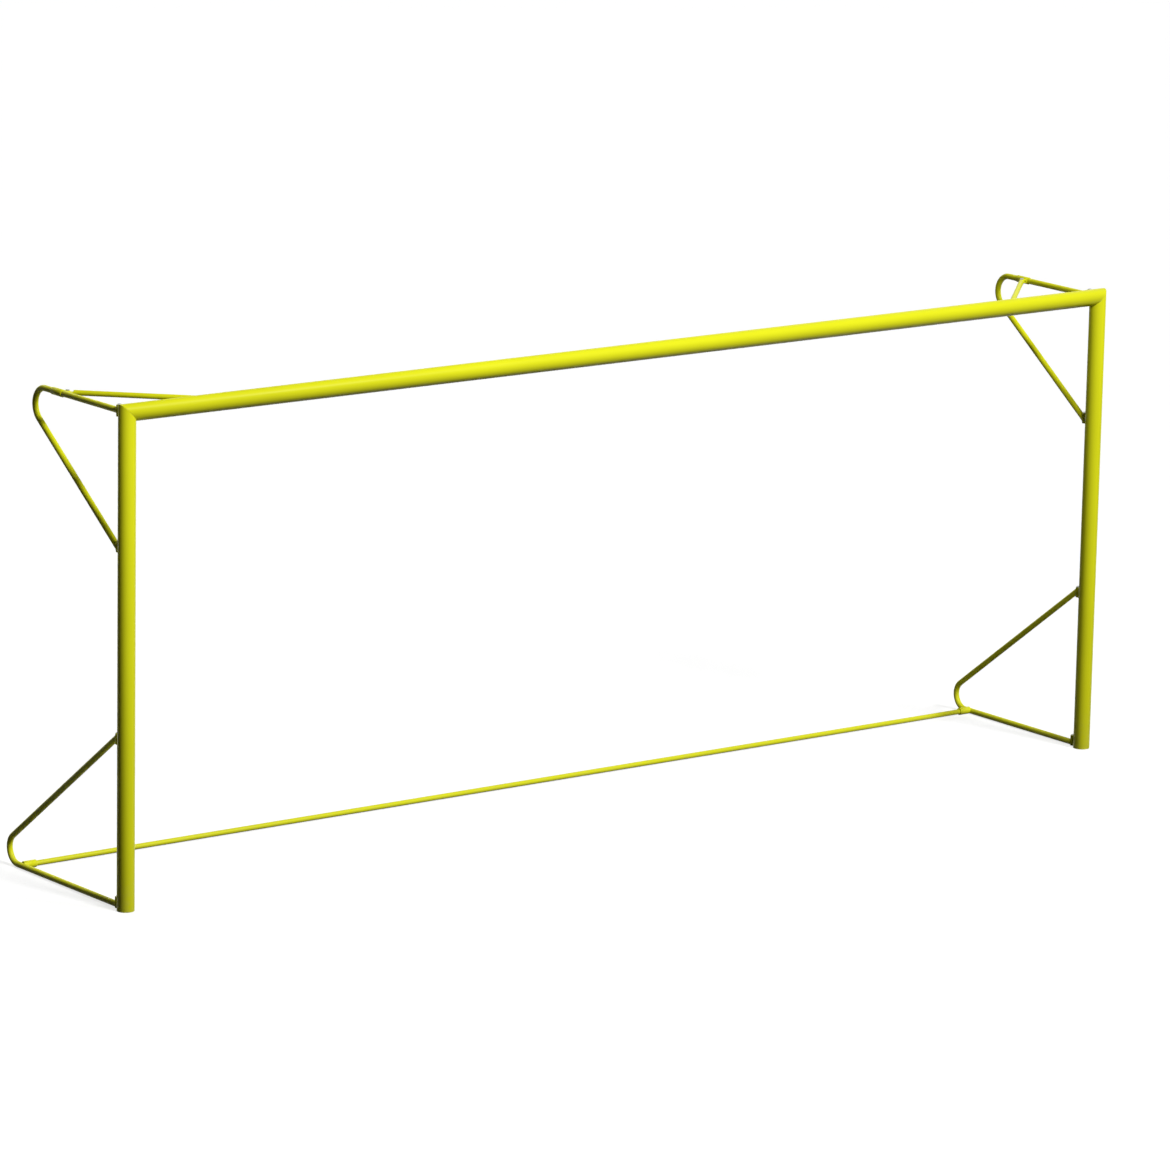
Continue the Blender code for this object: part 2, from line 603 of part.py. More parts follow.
def add_brace(goal, hoop_hinge, name, side):
    half_tab = TAB_THICKNESS / 2
    # The pivot is measured from the hoop's hinge, so that the brace rides on the hoop
    pivot_spot = (-side * PIVOT_OFFSET, PIVOT_Y - HINGE_Y, BAR_Z)
    pivot = add_empty(name + "_brace_pivot", hoop_hinge, pivot_spot)
    heading = math.atan2(-math.cos(BRACE_ANGLE), -side * math.sin(BRACE_ANGLE))
    turned = (0, 0, heading)
    tube_line = [(EYE_TO_TUBE, 0, 0), (BRACE_LENGTH - HOOK_TO_TUBE, 0, 0)]
    tube = tube_mesh("brace", tube_line, BRACE_RADIUS, BRACE_WALL)
    brace = add_part(name + "_brace", tube, YELLOW_PAINT, pivot, (0, 0, 0), turned)
    eye = flat_mesh("brace_eye", eye_outline(), TAB_THICKNESS)
    hook = flat_mesh("brace_hook", hook_outline(side), TAB_THICKNESS)
    eye_item = add_cutter(name + "_brace_eye", eye, pivot, (0, 0, 0), turned)
    hook_item = add_cutter(name + "_brace_hook", hook, pivot, (0, 0, 0), turned)
    hook_item.location = (
        -side * BRACE_LENGTH * math.sin(BRACE_ANGLE),
        -BRACE_LENGTH * math.cos(BRACE_ANGLE),
        0,
    )
    weld_on(brace, eye_item, hook_item)
    hole_mesh = rod_mesh("bolt_space", BOLT_RADIUS + RUNNING_PLAY, -PAST, PAST, PIN_SIDES)
    pivot_space = add_cutter(name + "_pivot_space", hole_mesh, pivot)
    cut(brace, pivot_space)

    # Sleeve round the hoop, with an ear above and below the brace's eye
    sleeve_mesh = rod_mesh("sleeve", SLEEVE_RADIUS, 0, SLEEVE_LENGTH, HINGE_SIDES)
    sleeve_spot = (0, SLEEVE_FRONT - HINGE_Y, BAR_Z)
    sleeve = add_part(
        name + "_brace_sleeve", sleeve_mesh, YELLOW_PAINT, hoop_hinge, sleeve_spot, TO_REAR
    )
    ear_outline = arc_points(EYE_RADIUS, -math.pi / 2, math.pi / 2, EDGE_STEPS)
    ear_outline += [(-PIVOT_OFFSET, EYE_RADIUS), (-PIVOT_OFFSET, -EYE_RADIUS)]
    ear_mesh = flat_mesh("sleeve_ear", [(-side * x, y) for x, y in ear_outline], SLEEVE_EAR)
    ear_shift = half_tab + SEAT_GAP + SLEEVE_EAR / 2
    for ear_name, sign in (("upper", 1), ("lower", -1)):
        ear_spot = (0, 0, sign * ear_shift)
        weld_on(sleeve, add_cutter(f"{name}_{ear_name}_ear", ear_mesh, pivot, ear_spot))
    bore_mesh = rod_mesh("sleeve_bore", SLEEVE_BORE, -PAST, SLEEVE_LENGTH + PAST, HINGE_SIDES)
    bore = add_cutter(name + "_sleeve_bore", bore_mesh, hoop_hinge, sleeve_spot, TO_REAR)
    cut(sleeve, bore, pivot_space)
    seat = half_tab + SEAT_GAP + SLEEVE_EAR + SEAT_GAP
    pivot_x, pivot_y, _ = pivot_spot
    bolt = bolt_mesh("pivot_bolt", 2 * seat)
    bolt_spot = (pivot_x, pivot_y, BAR_Z + seat)
    add_part(name + "_pivot_bolt", bolt, ZINC_STEEL, hoop_hinge, bolt_spot)
    add_nut(name + "_pivot_nut", hoop_hinge, (pivot_x, pivot_y, BAR_Z - seat), flipped=True)

    # Angle lug on the crossbar: its shelf lies under the hook
    lug_x = side * LUG_BOLT_X
    shelf_top = BAR_Z - half_tab - SEAT_GAP
    shelf_bottom = shelf_top - LUG_THICKNESS
    web_rear = FRAME_RADIUS + LUG_WEB_DEPTH
    half_width = LUG_WIDTH / 2
    web_low = (-half_width, FRAME_RADIUS / 2, -LUG_WEB_RISE)
    web = box_mesh("lug_web", web_low, (half_width, web_rear, LUG_WEB_RISE))
    lug = add_part(name + "_brace_lug", web, YELLOW_PAINT, goal, (lug_x, 0, BAR_Z))
    shelf_outline = arc_points(LUG_EDGE, 0, math.pi, EDGE_STEPS)
    shelf_outline += [(-LUG_EDGE, -BOLT_SETBACK), (LUG_EDGE, -BOLT_SETBACK)]
    shelf_mesh = flat_mesh("lug_shelf", shelf_outline, LUG_THICKNESS)
    shelf_spot = (lug_x, LUG_BOLT_Y, (shelf_top + shelf_bottom) / 2)
    weld_on(lug, add_cutter(name + "_lug_shelf", shelf_mesh, goal, shelf_spot))
    bar_mesh = rod_mesh("bar_space", FRAME_RADIUS + SEAT_GAP, -LUG_WIDTH, LUG_WIDTH, FRAME_SIDES)
    sideways = (0, math.radians(90), 0)
    bar_space = add_cutter(name + "_bar_space", bar_mesh, goal, (lug_x, 0, BAR_Z), sideways)
    lug_bolt_spot = (lug_x, LUG_BOLT_Y, BAR_Z)
    bolt_space = add_cutter(name + "_lug_bolt_space", hole_mesh, goal, lug_bolt_spot)
    cut(lug, bar_space, bolt_space)
    head_z = shelf_bottom - SEAT_GAP
    nut_z = BAR_Z + half_tab + SEAT_GAP
    lug_bolt = bolt_mesh("lug_bolt", nut_z - head_z)
    upside_down = (math.pi, 0, 0)
    head_spot = (lug_x, LUG_BOLT_Y, head_z)
    add_part(name + "_lug_bolt", lug_bolt, ZINC_STEEL, goal, head_spot, upside_down)
    add_nut(name + "_lug_nut", goal, (lug_x, LUG_BOLT_Y, nut_z), flipped=False)


# Socket on the lower hoop, and the bar's tapered plug that sits in it
def add_bar_end(goal, hoop_hinge, name, side):
    socket_mesh = ring_mesh(
        "socket", SOCKET_RADIUS, SOCKET_BORE, SOCKET_START, SOCKET_REACH, HINGE_SIDES
    )
    inward = (0, math.radians(-90) * side, 0)
    outward = (0, math.radians(90) * side, 0)
    spot = (0, GROUND_Y - HINGE_Y, SOCKET_Z)
    socket = add_part(name + "_bar_socket", socket_mesh, YELLOW_PAINT, hoop_hinge, spot, inward)
    reach = SOCKET_RADIUS + PAST
    hoop_mesh = rod_mesh("hoop_space", HOOP_RADIUS + SEAT_GAP, -reach, reach, HINGE_SIDES)
    run_spot = (0, GROUND_Y - HINGE_Y, LOWER_RUN_Z)
    cut(socket, add_cutter(name + "_hoop_space", hoop_mesh, hoop_hinge, run_spot, TO_REAR))
    insert = GROUND_RADIUS - GROUND_WALL - SEAT_GAP
    profile = [
        (0, PLUG_NOSE),
        (PLUG_TIP_RADIUS, PLUG_NOSE),
        (GROUND_RADIUS, SEAT_GAP),
        (insert, SEAT_GAP),
        (insert, -PLUG_INSERT),
        (0, -PLUG_INSERT),
    ]
    plug_mesh = turned_mesh("bar_plug", profile, HINGE_SIDES)
    plug_spot = (side * GROUND_HALF, GROUND_Y, GROUND_Z)
    add_part(name + "_bar_plug", plug_mesh, BLACK_PLASTIC, goal, plug_spot, outward)


def add_ground_bar(goal):
    bore = GROUND_RADIUS - GROUND_WALL
    mesh = ring_mesh("ground_bar", GROUND_RADIUS, bore, -GROUND_HALF, GROUND_HALF, HINGE_SIDES)
    sideways = (0, math.radians(90), 0)
    add_part("ground_bar", mesh, YELLOW_PAINT, goal, (0, GROUND_Y, GROUND_Z), sideways)


def main():
    goal = add_empty("goal_line", None, (0, -MIDDLE_Y, 0))
    add_front_frame(goal)
    add_ground_bar(goal)
    for name, side in SIDES.items():
        hinges = add_hoops(goal, name, side)
        add_brace(goal, hinges["upper"], name, side)
        add_bar_end(goal, hinges["lower"], name, side)


main()
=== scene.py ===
import math

import bmesh
import bpy
from mathutils import Euler, Matrix, Vector


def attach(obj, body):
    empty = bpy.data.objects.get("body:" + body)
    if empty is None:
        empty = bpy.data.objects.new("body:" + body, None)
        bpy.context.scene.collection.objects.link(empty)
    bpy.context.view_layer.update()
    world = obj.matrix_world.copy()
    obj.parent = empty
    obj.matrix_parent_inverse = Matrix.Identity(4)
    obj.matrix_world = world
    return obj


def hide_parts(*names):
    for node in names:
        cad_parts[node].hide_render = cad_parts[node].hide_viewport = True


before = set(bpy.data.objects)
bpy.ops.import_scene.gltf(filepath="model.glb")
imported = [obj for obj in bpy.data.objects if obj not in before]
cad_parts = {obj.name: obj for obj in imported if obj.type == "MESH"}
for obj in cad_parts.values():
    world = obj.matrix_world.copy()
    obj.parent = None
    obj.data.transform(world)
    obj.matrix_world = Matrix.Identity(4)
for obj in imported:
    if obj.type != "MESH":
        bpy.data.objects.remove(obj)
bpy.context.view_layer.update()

# Places that several pieces share, in metres from the goal line: x = 0 midway between
# the posts, y = 0 on the post axes. The shared frame's origin lies middleY behind that line.
layout = {
    "middleY": 0.465627,
    "postX": 2.79,
    "barZ": 2.24,
    "tubeRadius": 0.040,
    "hoopRadius": 0.014,
    "hingeY": 0.062,
    "gap": 0.0003,
}
facets = {"frame": 96, "fitting": 64, "rod": 48, "hole": 40, "hexagon": 6}
workshop = {
    "merge": 0.000002,
    "slice": 0.000001,
    "facing": 0.9,  # a face counts as facing up or down beyond this share of its normal
    "level": 0.00001,  # points this close to a plane lie on it
    "through": 0.1,  # how far a cutter stands out, to go right through
    "fineSteps": 3,
    "smoothAngle": 35,
}
upright = (0, 0, 0)
origin = (0, 0, 0)
toRear = (math.radians(-90), 0, 0)
sideways = (0, math.radians(90), 0)
toMiddle = (0, math.radians(-90), 0)
clearRadius = layout["tubeRadius"] + layout["gap"]  # just outside the posts and the crossbar


# The object that was just added
def newest(name):
    item = bpy.context.object
    item.name = name
    return item


# Camera

camera = {
    "place": (-18.7668, -24.4347, 7.9694),  # from the goal line
    "yaw": 0.6521,
    "pitch": 0.2386,
    "roll": -0.0204,
    "focal": 6826.4,  # in pixels of a picture 1170 wide
    "pictureSize": 1170,
    "centre": (611.3, 725.4),
    "sensor": 36.0,
    "reach": 500,
}


def setCamera():
    yaw, pitch, roll = camera["yaw"], camera["pitch"], camera["roll"]
    ahead = Vector((
        math.sin(yaw) * math.cos(pitch), math.cos(yaw) * math.cos(pitch), -math.sin(pitch)
    ))
    level = Vector((math.cos(yaw), -math.sin(yaw), 0))
    down = ahead.cross(level)
    right = math.cos(roll) * level + math.sin(roll) * down
    below = math.cos(roll) * down - math.sin(roll) * level
    turn = Matrix((right, -below, -ahead)).transposed()
    bpy.ops.object.camera_add()
    eye = newest("photoCamera")
    eye.location = Vector(camera["place"]) - Vector((0, layout["middleY"], 0))
    eye.rotation_euler = turn.to_euler()
    size = camera["pictureSize"]
    eye.data.sensor_width = camera["sensor"]
    eye.data.lens = camera["focal"] * camera["sensor"] / size
    eye.data.shift_x = (size / 2 - camera["centre"][0]) / size
    eye.data.shift_y = (camera["centre"][1] - size / 2) / size
    eye.data.clip_end = camera["reach"]
    bpy.context.scene.camera = eye


setCamera()
print("camera set")


# Floor, world and lamps

light = {
    "keyFrom": (0.12, -0.72, 0.68),
    "keyStrength": 2.1,
    "keyAngle": 10,  # degrees across, which softens the shadows
    "sunHeight": 6,
    "nearSpot": (0.6, -5.2, 5.9),  # from the goal line, in front of the mouth
    "nearPower": 700,
    "nearRadius": 0.5,
    "rearFrom": (0.30, 0.90, 0.32),  # for the views from behind
    "rearStrength": 1.8,
    "rearAngle": 30,
    "ambient": 0.01,
    "floorSize": 400,
    "floorDepth": 0.0004,
    "floorSeen": 0.42,  # diffuse share of the floor as the camera sees it
    "floorLift": 0.73,
    "floorBounce": 0.03,
    "floorRoughness": 0.9,
}


def addNode(tree, kind, **settings):
    item = tree.nodes.new(kind)
    for key, value in settings.items():
        setattr(item, key, value)
    return item


def link(tree, source, target):
    tree.links.new(source, target)


def setInputs(item, values):
    for label, value in values.items():
        item.inputs[label].default_value = value


def addMath(tree, operation, first, second):
    item = addNode(tree, "ShaderNodeMath", operation=operation)
    for socket, value in zip(item.inputs, (first, second)):
        if isinstance(value, (int, float)):
            socket.default_value = value
        else:
            link(tree, value, socket)
    return item.outputs[0]


# 1 where the camera looks, straight or in a reflection or through glass
def seenMask(tree):
    path = addNode(tree, "ShaderNodeLightPath")
    mask = path.outputs["Is Camera Ray"]
    for ray in ("Is Glossy Ray", "Is Transmission Ray"):
        mask = addMath(tree, "MAXIMUM", mask, path.outputs[ray])
    return mask


def setWorld():
    world = bpy.data.worlds.new("whiteStudio")
    world.use_nodes = True
    bpy.context.scene.world = world
    tree = world.node_tree
    tree.nodes.clear()
    backdrop = addNode(tree, "ShaderNodeBackground")
    setInputs(backdrop, {"Color": (1, 1, 1, 1), "Strength": 1})
    ambient = addNode(tree, "ShaderNodeBackground")
    setInputs(ambient, {"Color": (1, 1, 1, 1), "Strength": light["ambient"]})
    mix = addNode(tree, "ShaderNodeMixShader")
    out = addNode(tree, "ShaderNodeOutputWorld")
    link(tree, seenMask(tree), mix.inputs[0])
    link(tree, ambient.outputs[0], mix.inputs[1])
    link(tree, backdrop.outputs[0], mix.inputs[2])
    link(tree, mix.outputs[0], out.inputs["Surface"])


def addSun(name, source, strength, angle, mirrored=True):
    bpy.ops.object.light_add(type="SUN", location=(0, 0, light["sunHeight"]))
    sun = newest(name)
    sun.rotation_euler = Vector(source).to_track_quat("Z", "Y").to_euler()
    sun.data.energy = strength
    sun.data.angle = math.radians(angle)
    sun.visible_glossy = mirrored


# So close to the mouth that the left and right sides get its light from different directions
def addNearLamp():
    spot = Vector(light["nearSpot"]) - Vector((0, layout["middleY"], 0))
    bpy.ops.object.light_add(type="POINT", location=spot)
    lamp = newest("nearLamp")
    lamp.data.energy = light["nearPower"]
    lamp.data.shadow_soft_size = light["nearRadius"]


# The camera sees a white floor with soft shadows; the goal gets little light back from it
def addFloor():
    place = (0, 0, -light["floorDepth"])
    bpy.ops.mesh.primitive_plane_add(size=light["floorSize"], location=place)
    floor = newest("studioFloor")
    paint = bpy.data.materials.new("paleFloor")
    paint.use_nodes = True
    tree = paint.node_tree
    shader = tree.nodes["Principled BSDF"]
    setInputs(shader, {
        "Base Color": (*[light["floorSeen"]] * 3, 1), "Roughness": light["floorRoughness"],
        "Specular IOR Level": 0,
        "Emission Color": (1, 1, 1, 1), "Emission Strength": light["floorLift"],
    })
    bounce = addNode(tree, "ShaderNodeBsdfDiffuse")
    setInputs(bounce, {"Color": (*[light["floorBounce"]] * 3, 1)})
    mix = addNode(tree, "ShaderNodeMixShader")
    link(tree, seenMask(tree), mix.inputs[0])
    link(tree, bounce.outputs[0], mix.inputs[1])
    link(tree, shader.outputs[0], mix.inputs[2])
    link(tree, mix.outputs[0], tree.nodes["Material Output"].inputs["Surface"])
    floor.data.materials.append(paint)


bpy.context.scene.view_settings.view_transform = "Standard"
setWorld()
addSun("keyLamp", light["keyFrom"], light["keyStrength"], light["keyAngle"])
addSun("rearLamp", light["rearFrom"], light["rearStrength"], light["rearAngle"], False)
addNearLamp()
addFloor()
print("floor, world and lamps set")


# Effects that several finishes share

patterns = {
    "driftDetail": 4, "driftRange": (0.3, 0.7),
    "waveDetail": 1, "grainDetail": 2,
    "grainTimes": 4.3,  # how much finer the grain is than the waves
    "rubDetail": 5, "rubRange": (0.95, 1.15),
    "sandDetail": 6, "sandRange": (0.35, 0.65),
}


def startGroup(name, inputs, outputs):
    group = bpy.data.node_groups.new(name, "ShaderNodeTree")
    add = group.interface.new_socket
    for label, kind, value in inputs:
        socket = add(label, in_out="INPUT", socket_type="NodeSocket" + kind)
        if value is not None:
            socket.default_value = value
    for label, kind in outputs:
        add(label, in_out="OUTPUT", socket_type="NodeSocket" + kind)
    return group, addNode(group, "NodeGroupInput"), addNode(group, "NodeGroupOutput")


def addNoise(tree, vector, scale, detail):
    noise = addNode(tree, "ShaderNodeTexNoise")
    setInputs(noise, {"Detail": detail})
    link(tree, vector, noise.inputs["Vector"])
    link(tree, scale, noise.inputs["Scale"])
    return noise.outputs[0]


def addGivenNoise(group, given, detail):
    return addNoise(group, given.outputs["Vector"], given.outputs["Scale"], patterns[detail])


def addRange(tree, value, fromLow, fromHigh, toLow=0.0, toHigh=1.0):
    item = addNode(tree, "ShaderNodeMapRange", clamp=True)
    link(tree, value, item.inputs["Value"])
    setInputs(item, {
        "From Min": fromLow, "From Max": fromHigh, "To Min": toLow, "To Max": toHigh
    })
    return item.outputs[0]


# Slow change of a colour's brightness over the surface
def buildDrift():
    inputs = [("Vector", "Vector", None), ("Colour", "Color", None)]
    inputs += [("Scale", "Float", 2.0), ("Amount", "Float", 0.05)]
    outputs = [("Colour", "Color"), ("Value", "Float")]
    group, given, result = startGroup("colourDrift", inputs, outputs)
    slow = addGivenNoise(group, given, "driftDetail")
    even = addRange(group, slow, *patterns["driftRange"], -1, 1)
    change = addMath(group, "MULTIPLY", even, given.outputs["Amount"])
    tint = addNode(group, "ShaderNodeHueSaturation")
    link(group, addMath(group, "ADD", change, 1), tint.inputs["Value"])
    link(group, given.outputs["Colour"], tint.inputs["Color"])
    link(group, tint.outputs[0], result.inputs["Colour"])
    link(group, even, result.inputs["Value"])
    return group


# Height of a sprayed or moulded skin: soft waves with finer grain on them
def buildSkin():
    inputs = [("Vector", "Vector", None), ("Scale", "Float", 300.0), ("Grain", "Float", 0.3)]
    group, given, result = startGroup("surfaceSkin", inputs, [("Height", "Float")])
    waves = addGivenNoise(group, given, "waveDetail")
    finer = addMath(group, "MULTIPLY", given.outputs["Scale"], patterns["grainTimes"])
    grain = addNoise(group, given.outputs["Vector"], finer, patterns["grainDetail"])
    grain = addMath(group, "MULTIPLY", grain, given.outputs["Grain"])
    link(group, addMath(group, "ADD", waves, grain), result.inputs["Height"])
    return group


# Where the rims and edges have been rubbed
def buildRub():
    inputs = [("Vector", "Vector", None), ("Rim", "Float", 0.0)]
    inputs += [("Scale", "Float", 60.0), ("Cover", "Float", 0.5)]
    group, given, result = startGroup("edgeRub", inputs, [("Mask", "Float")])
    patches = addGivenNoise(group, given, "rubDetail")
    lift = addMath(group, "ADD", patches, given.outputs["Cover"])
    spots = addRange(group, lift, *patterns["rubRange"])
    mask = addMath(group, "MULTIPLY", spots, given.outputs["Rim"])
    link(group, mask, result.inputs["Mask"])
    return group


# Fine sand that clings near the ground and thins out upwards
def buildSand():
    inputs = [("Vector", "Vector", None), ("Reach", "Float", 0.3)]
    inputs += [("Scale", "Float", 40.0), ("Amount", "Float", 0.3)]
    group, given, result = startGroup("sandFilm", inputs, [("Mask", "Float")])
    parts = addNode(group, "ShaderNodeSeparateXYZ")
    link(group, given.outputs["Vector"], parts.inputs[0])
    rise = addMath(group, "DIVIDE", parts.outputs["Z"], given.outputs["Reach"])
    low = addRange(group, rise, 0, 1, 1, 0)
    fall = addMath(group, "MULTIPLY", low, low)
    cloud = addGivenNoise(group, given, "sandDetail")
    patches = addRange(group, cloud, *patterns["sandRange"])
    mask = addMath(group, "MULTIPLY", fall, patches)
    mask = addMath(group, "MULTIPLY", mask, given.outputs["Amount"])
    link(group, mask, result.inputs["Mask"])
    return group


effects = {"drift": buildDrift(), "skin": buildSkin(), "rub": buildRub(), "sand": buildSand()}


# Finishes: colours are linear

finishes = {
    "yellow_paint": {
        "colour": (0.84, 0.85, 0.014), "metallic": 0.0, "roughness": 0.36, "specular": 0.08,
        "driftScale": 1.7, "drift": 0.035,
        "skinScale": 260, "grain": 0.15, "bump": 0.00003,
        "rubColour": (0.50, 0.51, 0.10), "rubCover": 0.42, "sand": 0.12,
    },
    "yellow_plastic": {
        "colour": (0.72, 0.74, 0.030), "metallic": 0.0, "roughness": 0.48, "specular": 0.4,
        "driftScale": 9, "drift": 0.05,
        "skinScale": 700, "grain": 0.6, "bump": 0.00004,
        "rubColour": (0.55, 0.54, 0.20), "rubCover": 0.55, "sand": 0.55,
    },
    "zinc_steel": {
        "colour": (0.42, 0.43, 0.44), "metallic": 1.0, "roughness": 0.38, "specular": 0.5,
        "driftScale": 70, "drift": 0.14,
        "skinScale": 900, "grain": 0.8, "bump": 0.00001,
        "rubColour": (0.60, 0.60, 0.59), "rubCover": 0.55, "sand": 0.10,
    },
    "cast_aluminium": {
        "colour": (0.60, 0.61, 0.62), "metallic": 1.0, "roughness": 0.52, "specular": 0.5,
        "driftScale": 45, "drift": 0.10,
        "skinScale": 1100, "grain": 1.0, "bump": 0.00008,
        "rubColour": (0.72, 0.72, 0.72), "rubCover": 0.5, "sand": 0.0,
    },
    "black_plastic": {
        "colour": (0.028, 0.028, 0.030), "metallic": 0.0, "roughness": 0.5, "specular": 0.45,
        "driftScale": 30, "drift": 0.12,
        "skinScale": 800, "grain": 0.8, "bump": 0.00005,
        "rubColour": (0.10, 0.10, 0.10), "rubCover": 0.5, "sand": 0.35,
    },
}
wear = {
    "sandColour": (0.52, 0.44, 0.30),
    "driftRoughness": 0.04, "rubRoughness": 0.12, "sandRoughness": 0.5,
}


def placeGroup(tree, effect, vector, **values):
    item = addNode(tree, "ShaderNodeGroup", node_tree=effects[effect])
    link(tree, vector, item.inputs["Vector"])
    setInputs(item, values)
    return item


def mixColour(tree, mask, first, second):
    item = addNode(tree, "ShaderNodeMix", data_type="RGBA")
    link(tree, mask, item.inputs["Factor"])
    link(tree, first, item.inputs[6])
    item.inputs[7].default_value = (*second, 1)
    return item.outputs[2]


def buildFinish(name, values):
    finish = bpy.data.materials.new(name)
    finish.use_nodes = True
    tree = finish.node_tree
    shader = tree.nodes["Principled BSDF"]
    where = addNode(tree, "ShaderNodeTexCoord").outputs["Object"]
    rim = addNode(tree, "ShaderNodeAttribute", attribute_name="rim").outputs["Fac"]
    drift = placeGroup(tree, "drift", where, Colour=(*values["colour"], 1),
                       Scale=values["driftScale"], Amount=values["drift"])
    rub = placeGroup(tree, "rub", where, Cover=values["rubCover"])
    link(tree, rim, rub.inputs["Rim"])
    sand = placeGroup(tree, "sand", where, Amount=values["sand"])
    colour = mixColour(tree, rub.outputs["Mask"], drift.outputs["Colour"], values["rubColour"])
    colour = mixColour(tree, sand.outputs["Mask"], colour, wear["sandColour"])
    link(tree, colour, shader.inputs["Base Color"])
    rough = addMath(tree, "MULTIPLY_ADD", drift.outputs["Value"], wear["driftRoughness"])
    rough.node.inputs[2].default_value = values["roughness"]
    for film, change in ((rub, wear["rubRoughness"]), (sand, wear["sandRoughness"])):
        rise = addMath(tree, "MULTIPLY", film.outputs["Mask"], change)
        rough = addMath(tree, "ADD", rough, rise)
    link(tree, rough, shader.inputs["Roughness"])
    skin = placeGroup(tree, "skin", where, Scale=values["skinScale"], Grain=values["grain"])
    bump = addNode(tree, "ShaderNodeBump")
    setInputs(bump, {"Strength": 1, "Distance": values["bump"]})
    link(tree, skin.outputs["Height"], bump.inputs["Height"])
    link(tree, bump.outputs[0], shader.inputs["Normal"])
    constants = {"Metallic": values["metallic"], "Specular IOR Level": values["specular"]}
    setInputs(shader, constants)
    return finish


materials = {name: buildFinish(name, values) for name, values in finishes.items()}
print("finishes built:", ", ".join(materials))


# Ways of working that the pieces share

def clearHands():
    if bpy.context.object and bpy.context.object.mode != "OBJECT":
        bpy.ops.object.mode_set(mode="OBJECT")
    bpy.ops.object.select_all(action="DESELECT")


def hold(*items):
    clearHands()
    for item in items:
        item.select_set(True)
    bpy.context.view_layer.objects.active = items[0]


def openUp(item):
    hold(item)
    bpy.ops.object.mode_set(mode="EDIT")
    bpy.ops.mesh.select_all(action="DESELECT")


def closeUp():
    bpy.ops.object.mode_set(mode="OBJECT")


# Selects what passes the test, in edit mode
def pick(item, kind, test):
    bpy.ops.mesh.select_mode(type=kind)
    bpy.ops.mesh.select_all(action="DESELECT")
    work = bmesh.from_edit_mesh(item.data)
    choices = {"VERT": work.verts, "EDGE": work.edges, "FACE": work.faces}[kind]
    for choice in choices:
        if test(choice):
            choice.select_set(True)
    bmesh.update_edit_mesh(item.data)


def facesUp(face):
    return face.normal.z > workshop["facing"]


def facesDown(face):
    return face.normal.z < -workshop["facing"]


def edgeMiddle(edge):
    return (edge.verts[0].co + edge.verts[1].co) / 2


def extrudeBy(x, y, z):
    bpy.ops.mesh.extrude_region_move(TRANSFORM_OT_translate={"value": (x, y, z)})


def squeeze(share, height=0):
    bpy.ops.transform.resize(value=(share, share, 1), center_override=(0, 0, height))


def facesOut():
    bpy.ops.mesh.select_all(action="SELECT")
    bpy.ops.mesh.remove_doubles(threshold=workshop["merge"])
    bpy.ops.mesh.normals_make_consistent(inside=False)


def bakePlace():
    bpy.ops.object.transform_apply(location=True, rotation=True, scale=True)


# Turns and moves a mesh, and leaves its origin where the goal line's is
def settle(item, spot=origin, turn=upright):
    hold(item)
    item.location = spot
    item.rotation_euler = turn
    bakePlace()
    return item


def addCylinder(name, radius, bottom, top, sides, ends="NGON"):
    clearHands()
    bpy.ops.mesh.primitive_cylinder_add(
        vertices=sides, radius=radius, depth=top - bottom, end_fill_type=ends,
        location=(0, 0, (top + bottom) / 2)
    )
    item = newest(name)
    bakePlace()
    return item


def addRod(name, radius, bottom, top, sides, turn=upright):
    return settle(addCylinder(name, radius, bottom, top, sides), turn=turn)


def addBlock(name, low, high):
    clearHands()
    middle = [(a + b) / 2 for a, b in zip(low, high)]
    bpy.ops.mesh.primitive_cube_add(size=1, location=middle)
    block = newest(name)
    block.scale = [b - a for a, b in zip(low, high)]
    bakePlace()
    return block


def addModifier(item, kind, **settings):
    hold(item)
    step = item.modifiers.new(kind.lower(), kind)
    for key, value in settings.items():
        setattr(step, key, value)
    bpy.ops.object.modifier_apply(modifier=step.name)


def combine(item, other, operation):
    addModifier(item, "BOOLEAN", operation=operation, solver="EXACT", object=other)
    bpy.data.objects.remove(other, do_unlink=True)


def cutAway(item, tool):
    combine(item, tool, "DIFFERENCE")


# Rod that stands out of the item on both sides
def addCutter(name, radius, sides=facets["hole"], turn=upright):
    return addRod(name, radius, -workshop["through"], workshop["through"], sides, turn)


def drillThrough(item, radius, spot=origin):
    cutAway(item, settle(addCutter("drill", radius), spot))


# Everything on the normal's side goes
def sliceOff(item, point, normal, fill=True):
    openUp(item)
    bpy.ops.mesh.select_all(action="SELECT")
    bpy.ops.mesh.bisect(
        plane_co=point, plane_no=normal, use_fill=fill, clear_outer=True,
        threshold=workshop["slice"]
    )
    closeUp()


# New bevel faces get the second material slot, from which markRims reads them
def roundEdges(item, width, steps=2, angle=workshop["smoothAngle"]):
    while len(item.data.materials) < 2:
        item.data.materials.append(None)
    addModifier(
        item, "BEVEL", width=width, segments=steps, limit_method="ANGLE",
        angle_limit=math.radians(angle), material=1, use_clamp_overlap=True
    )


def markRims(item):
    marks = item.data.attributes.new("rim", "FLOAT", "FACE")
    for mark, face in zip(marks.data, item.data.polygons):
        mark.value = face.material_index
        face.material_index = 0


def joinAll(item, *others):
    hold(item, *others)
    bpy.ops.object.join()
    return item


def copyOf(item, name):
    hold(item)
    bpy.ops.object.duplicate()
    return newest(name)


# The same piece on the other side of the goal
def mirrorOf(item, name):
    twin = copyOf(item, name)
    twin.scale = (-1, 1, 1)
    bakePlace()
    openUp(twin)
    facesOut()
    closeUp()
    return twin


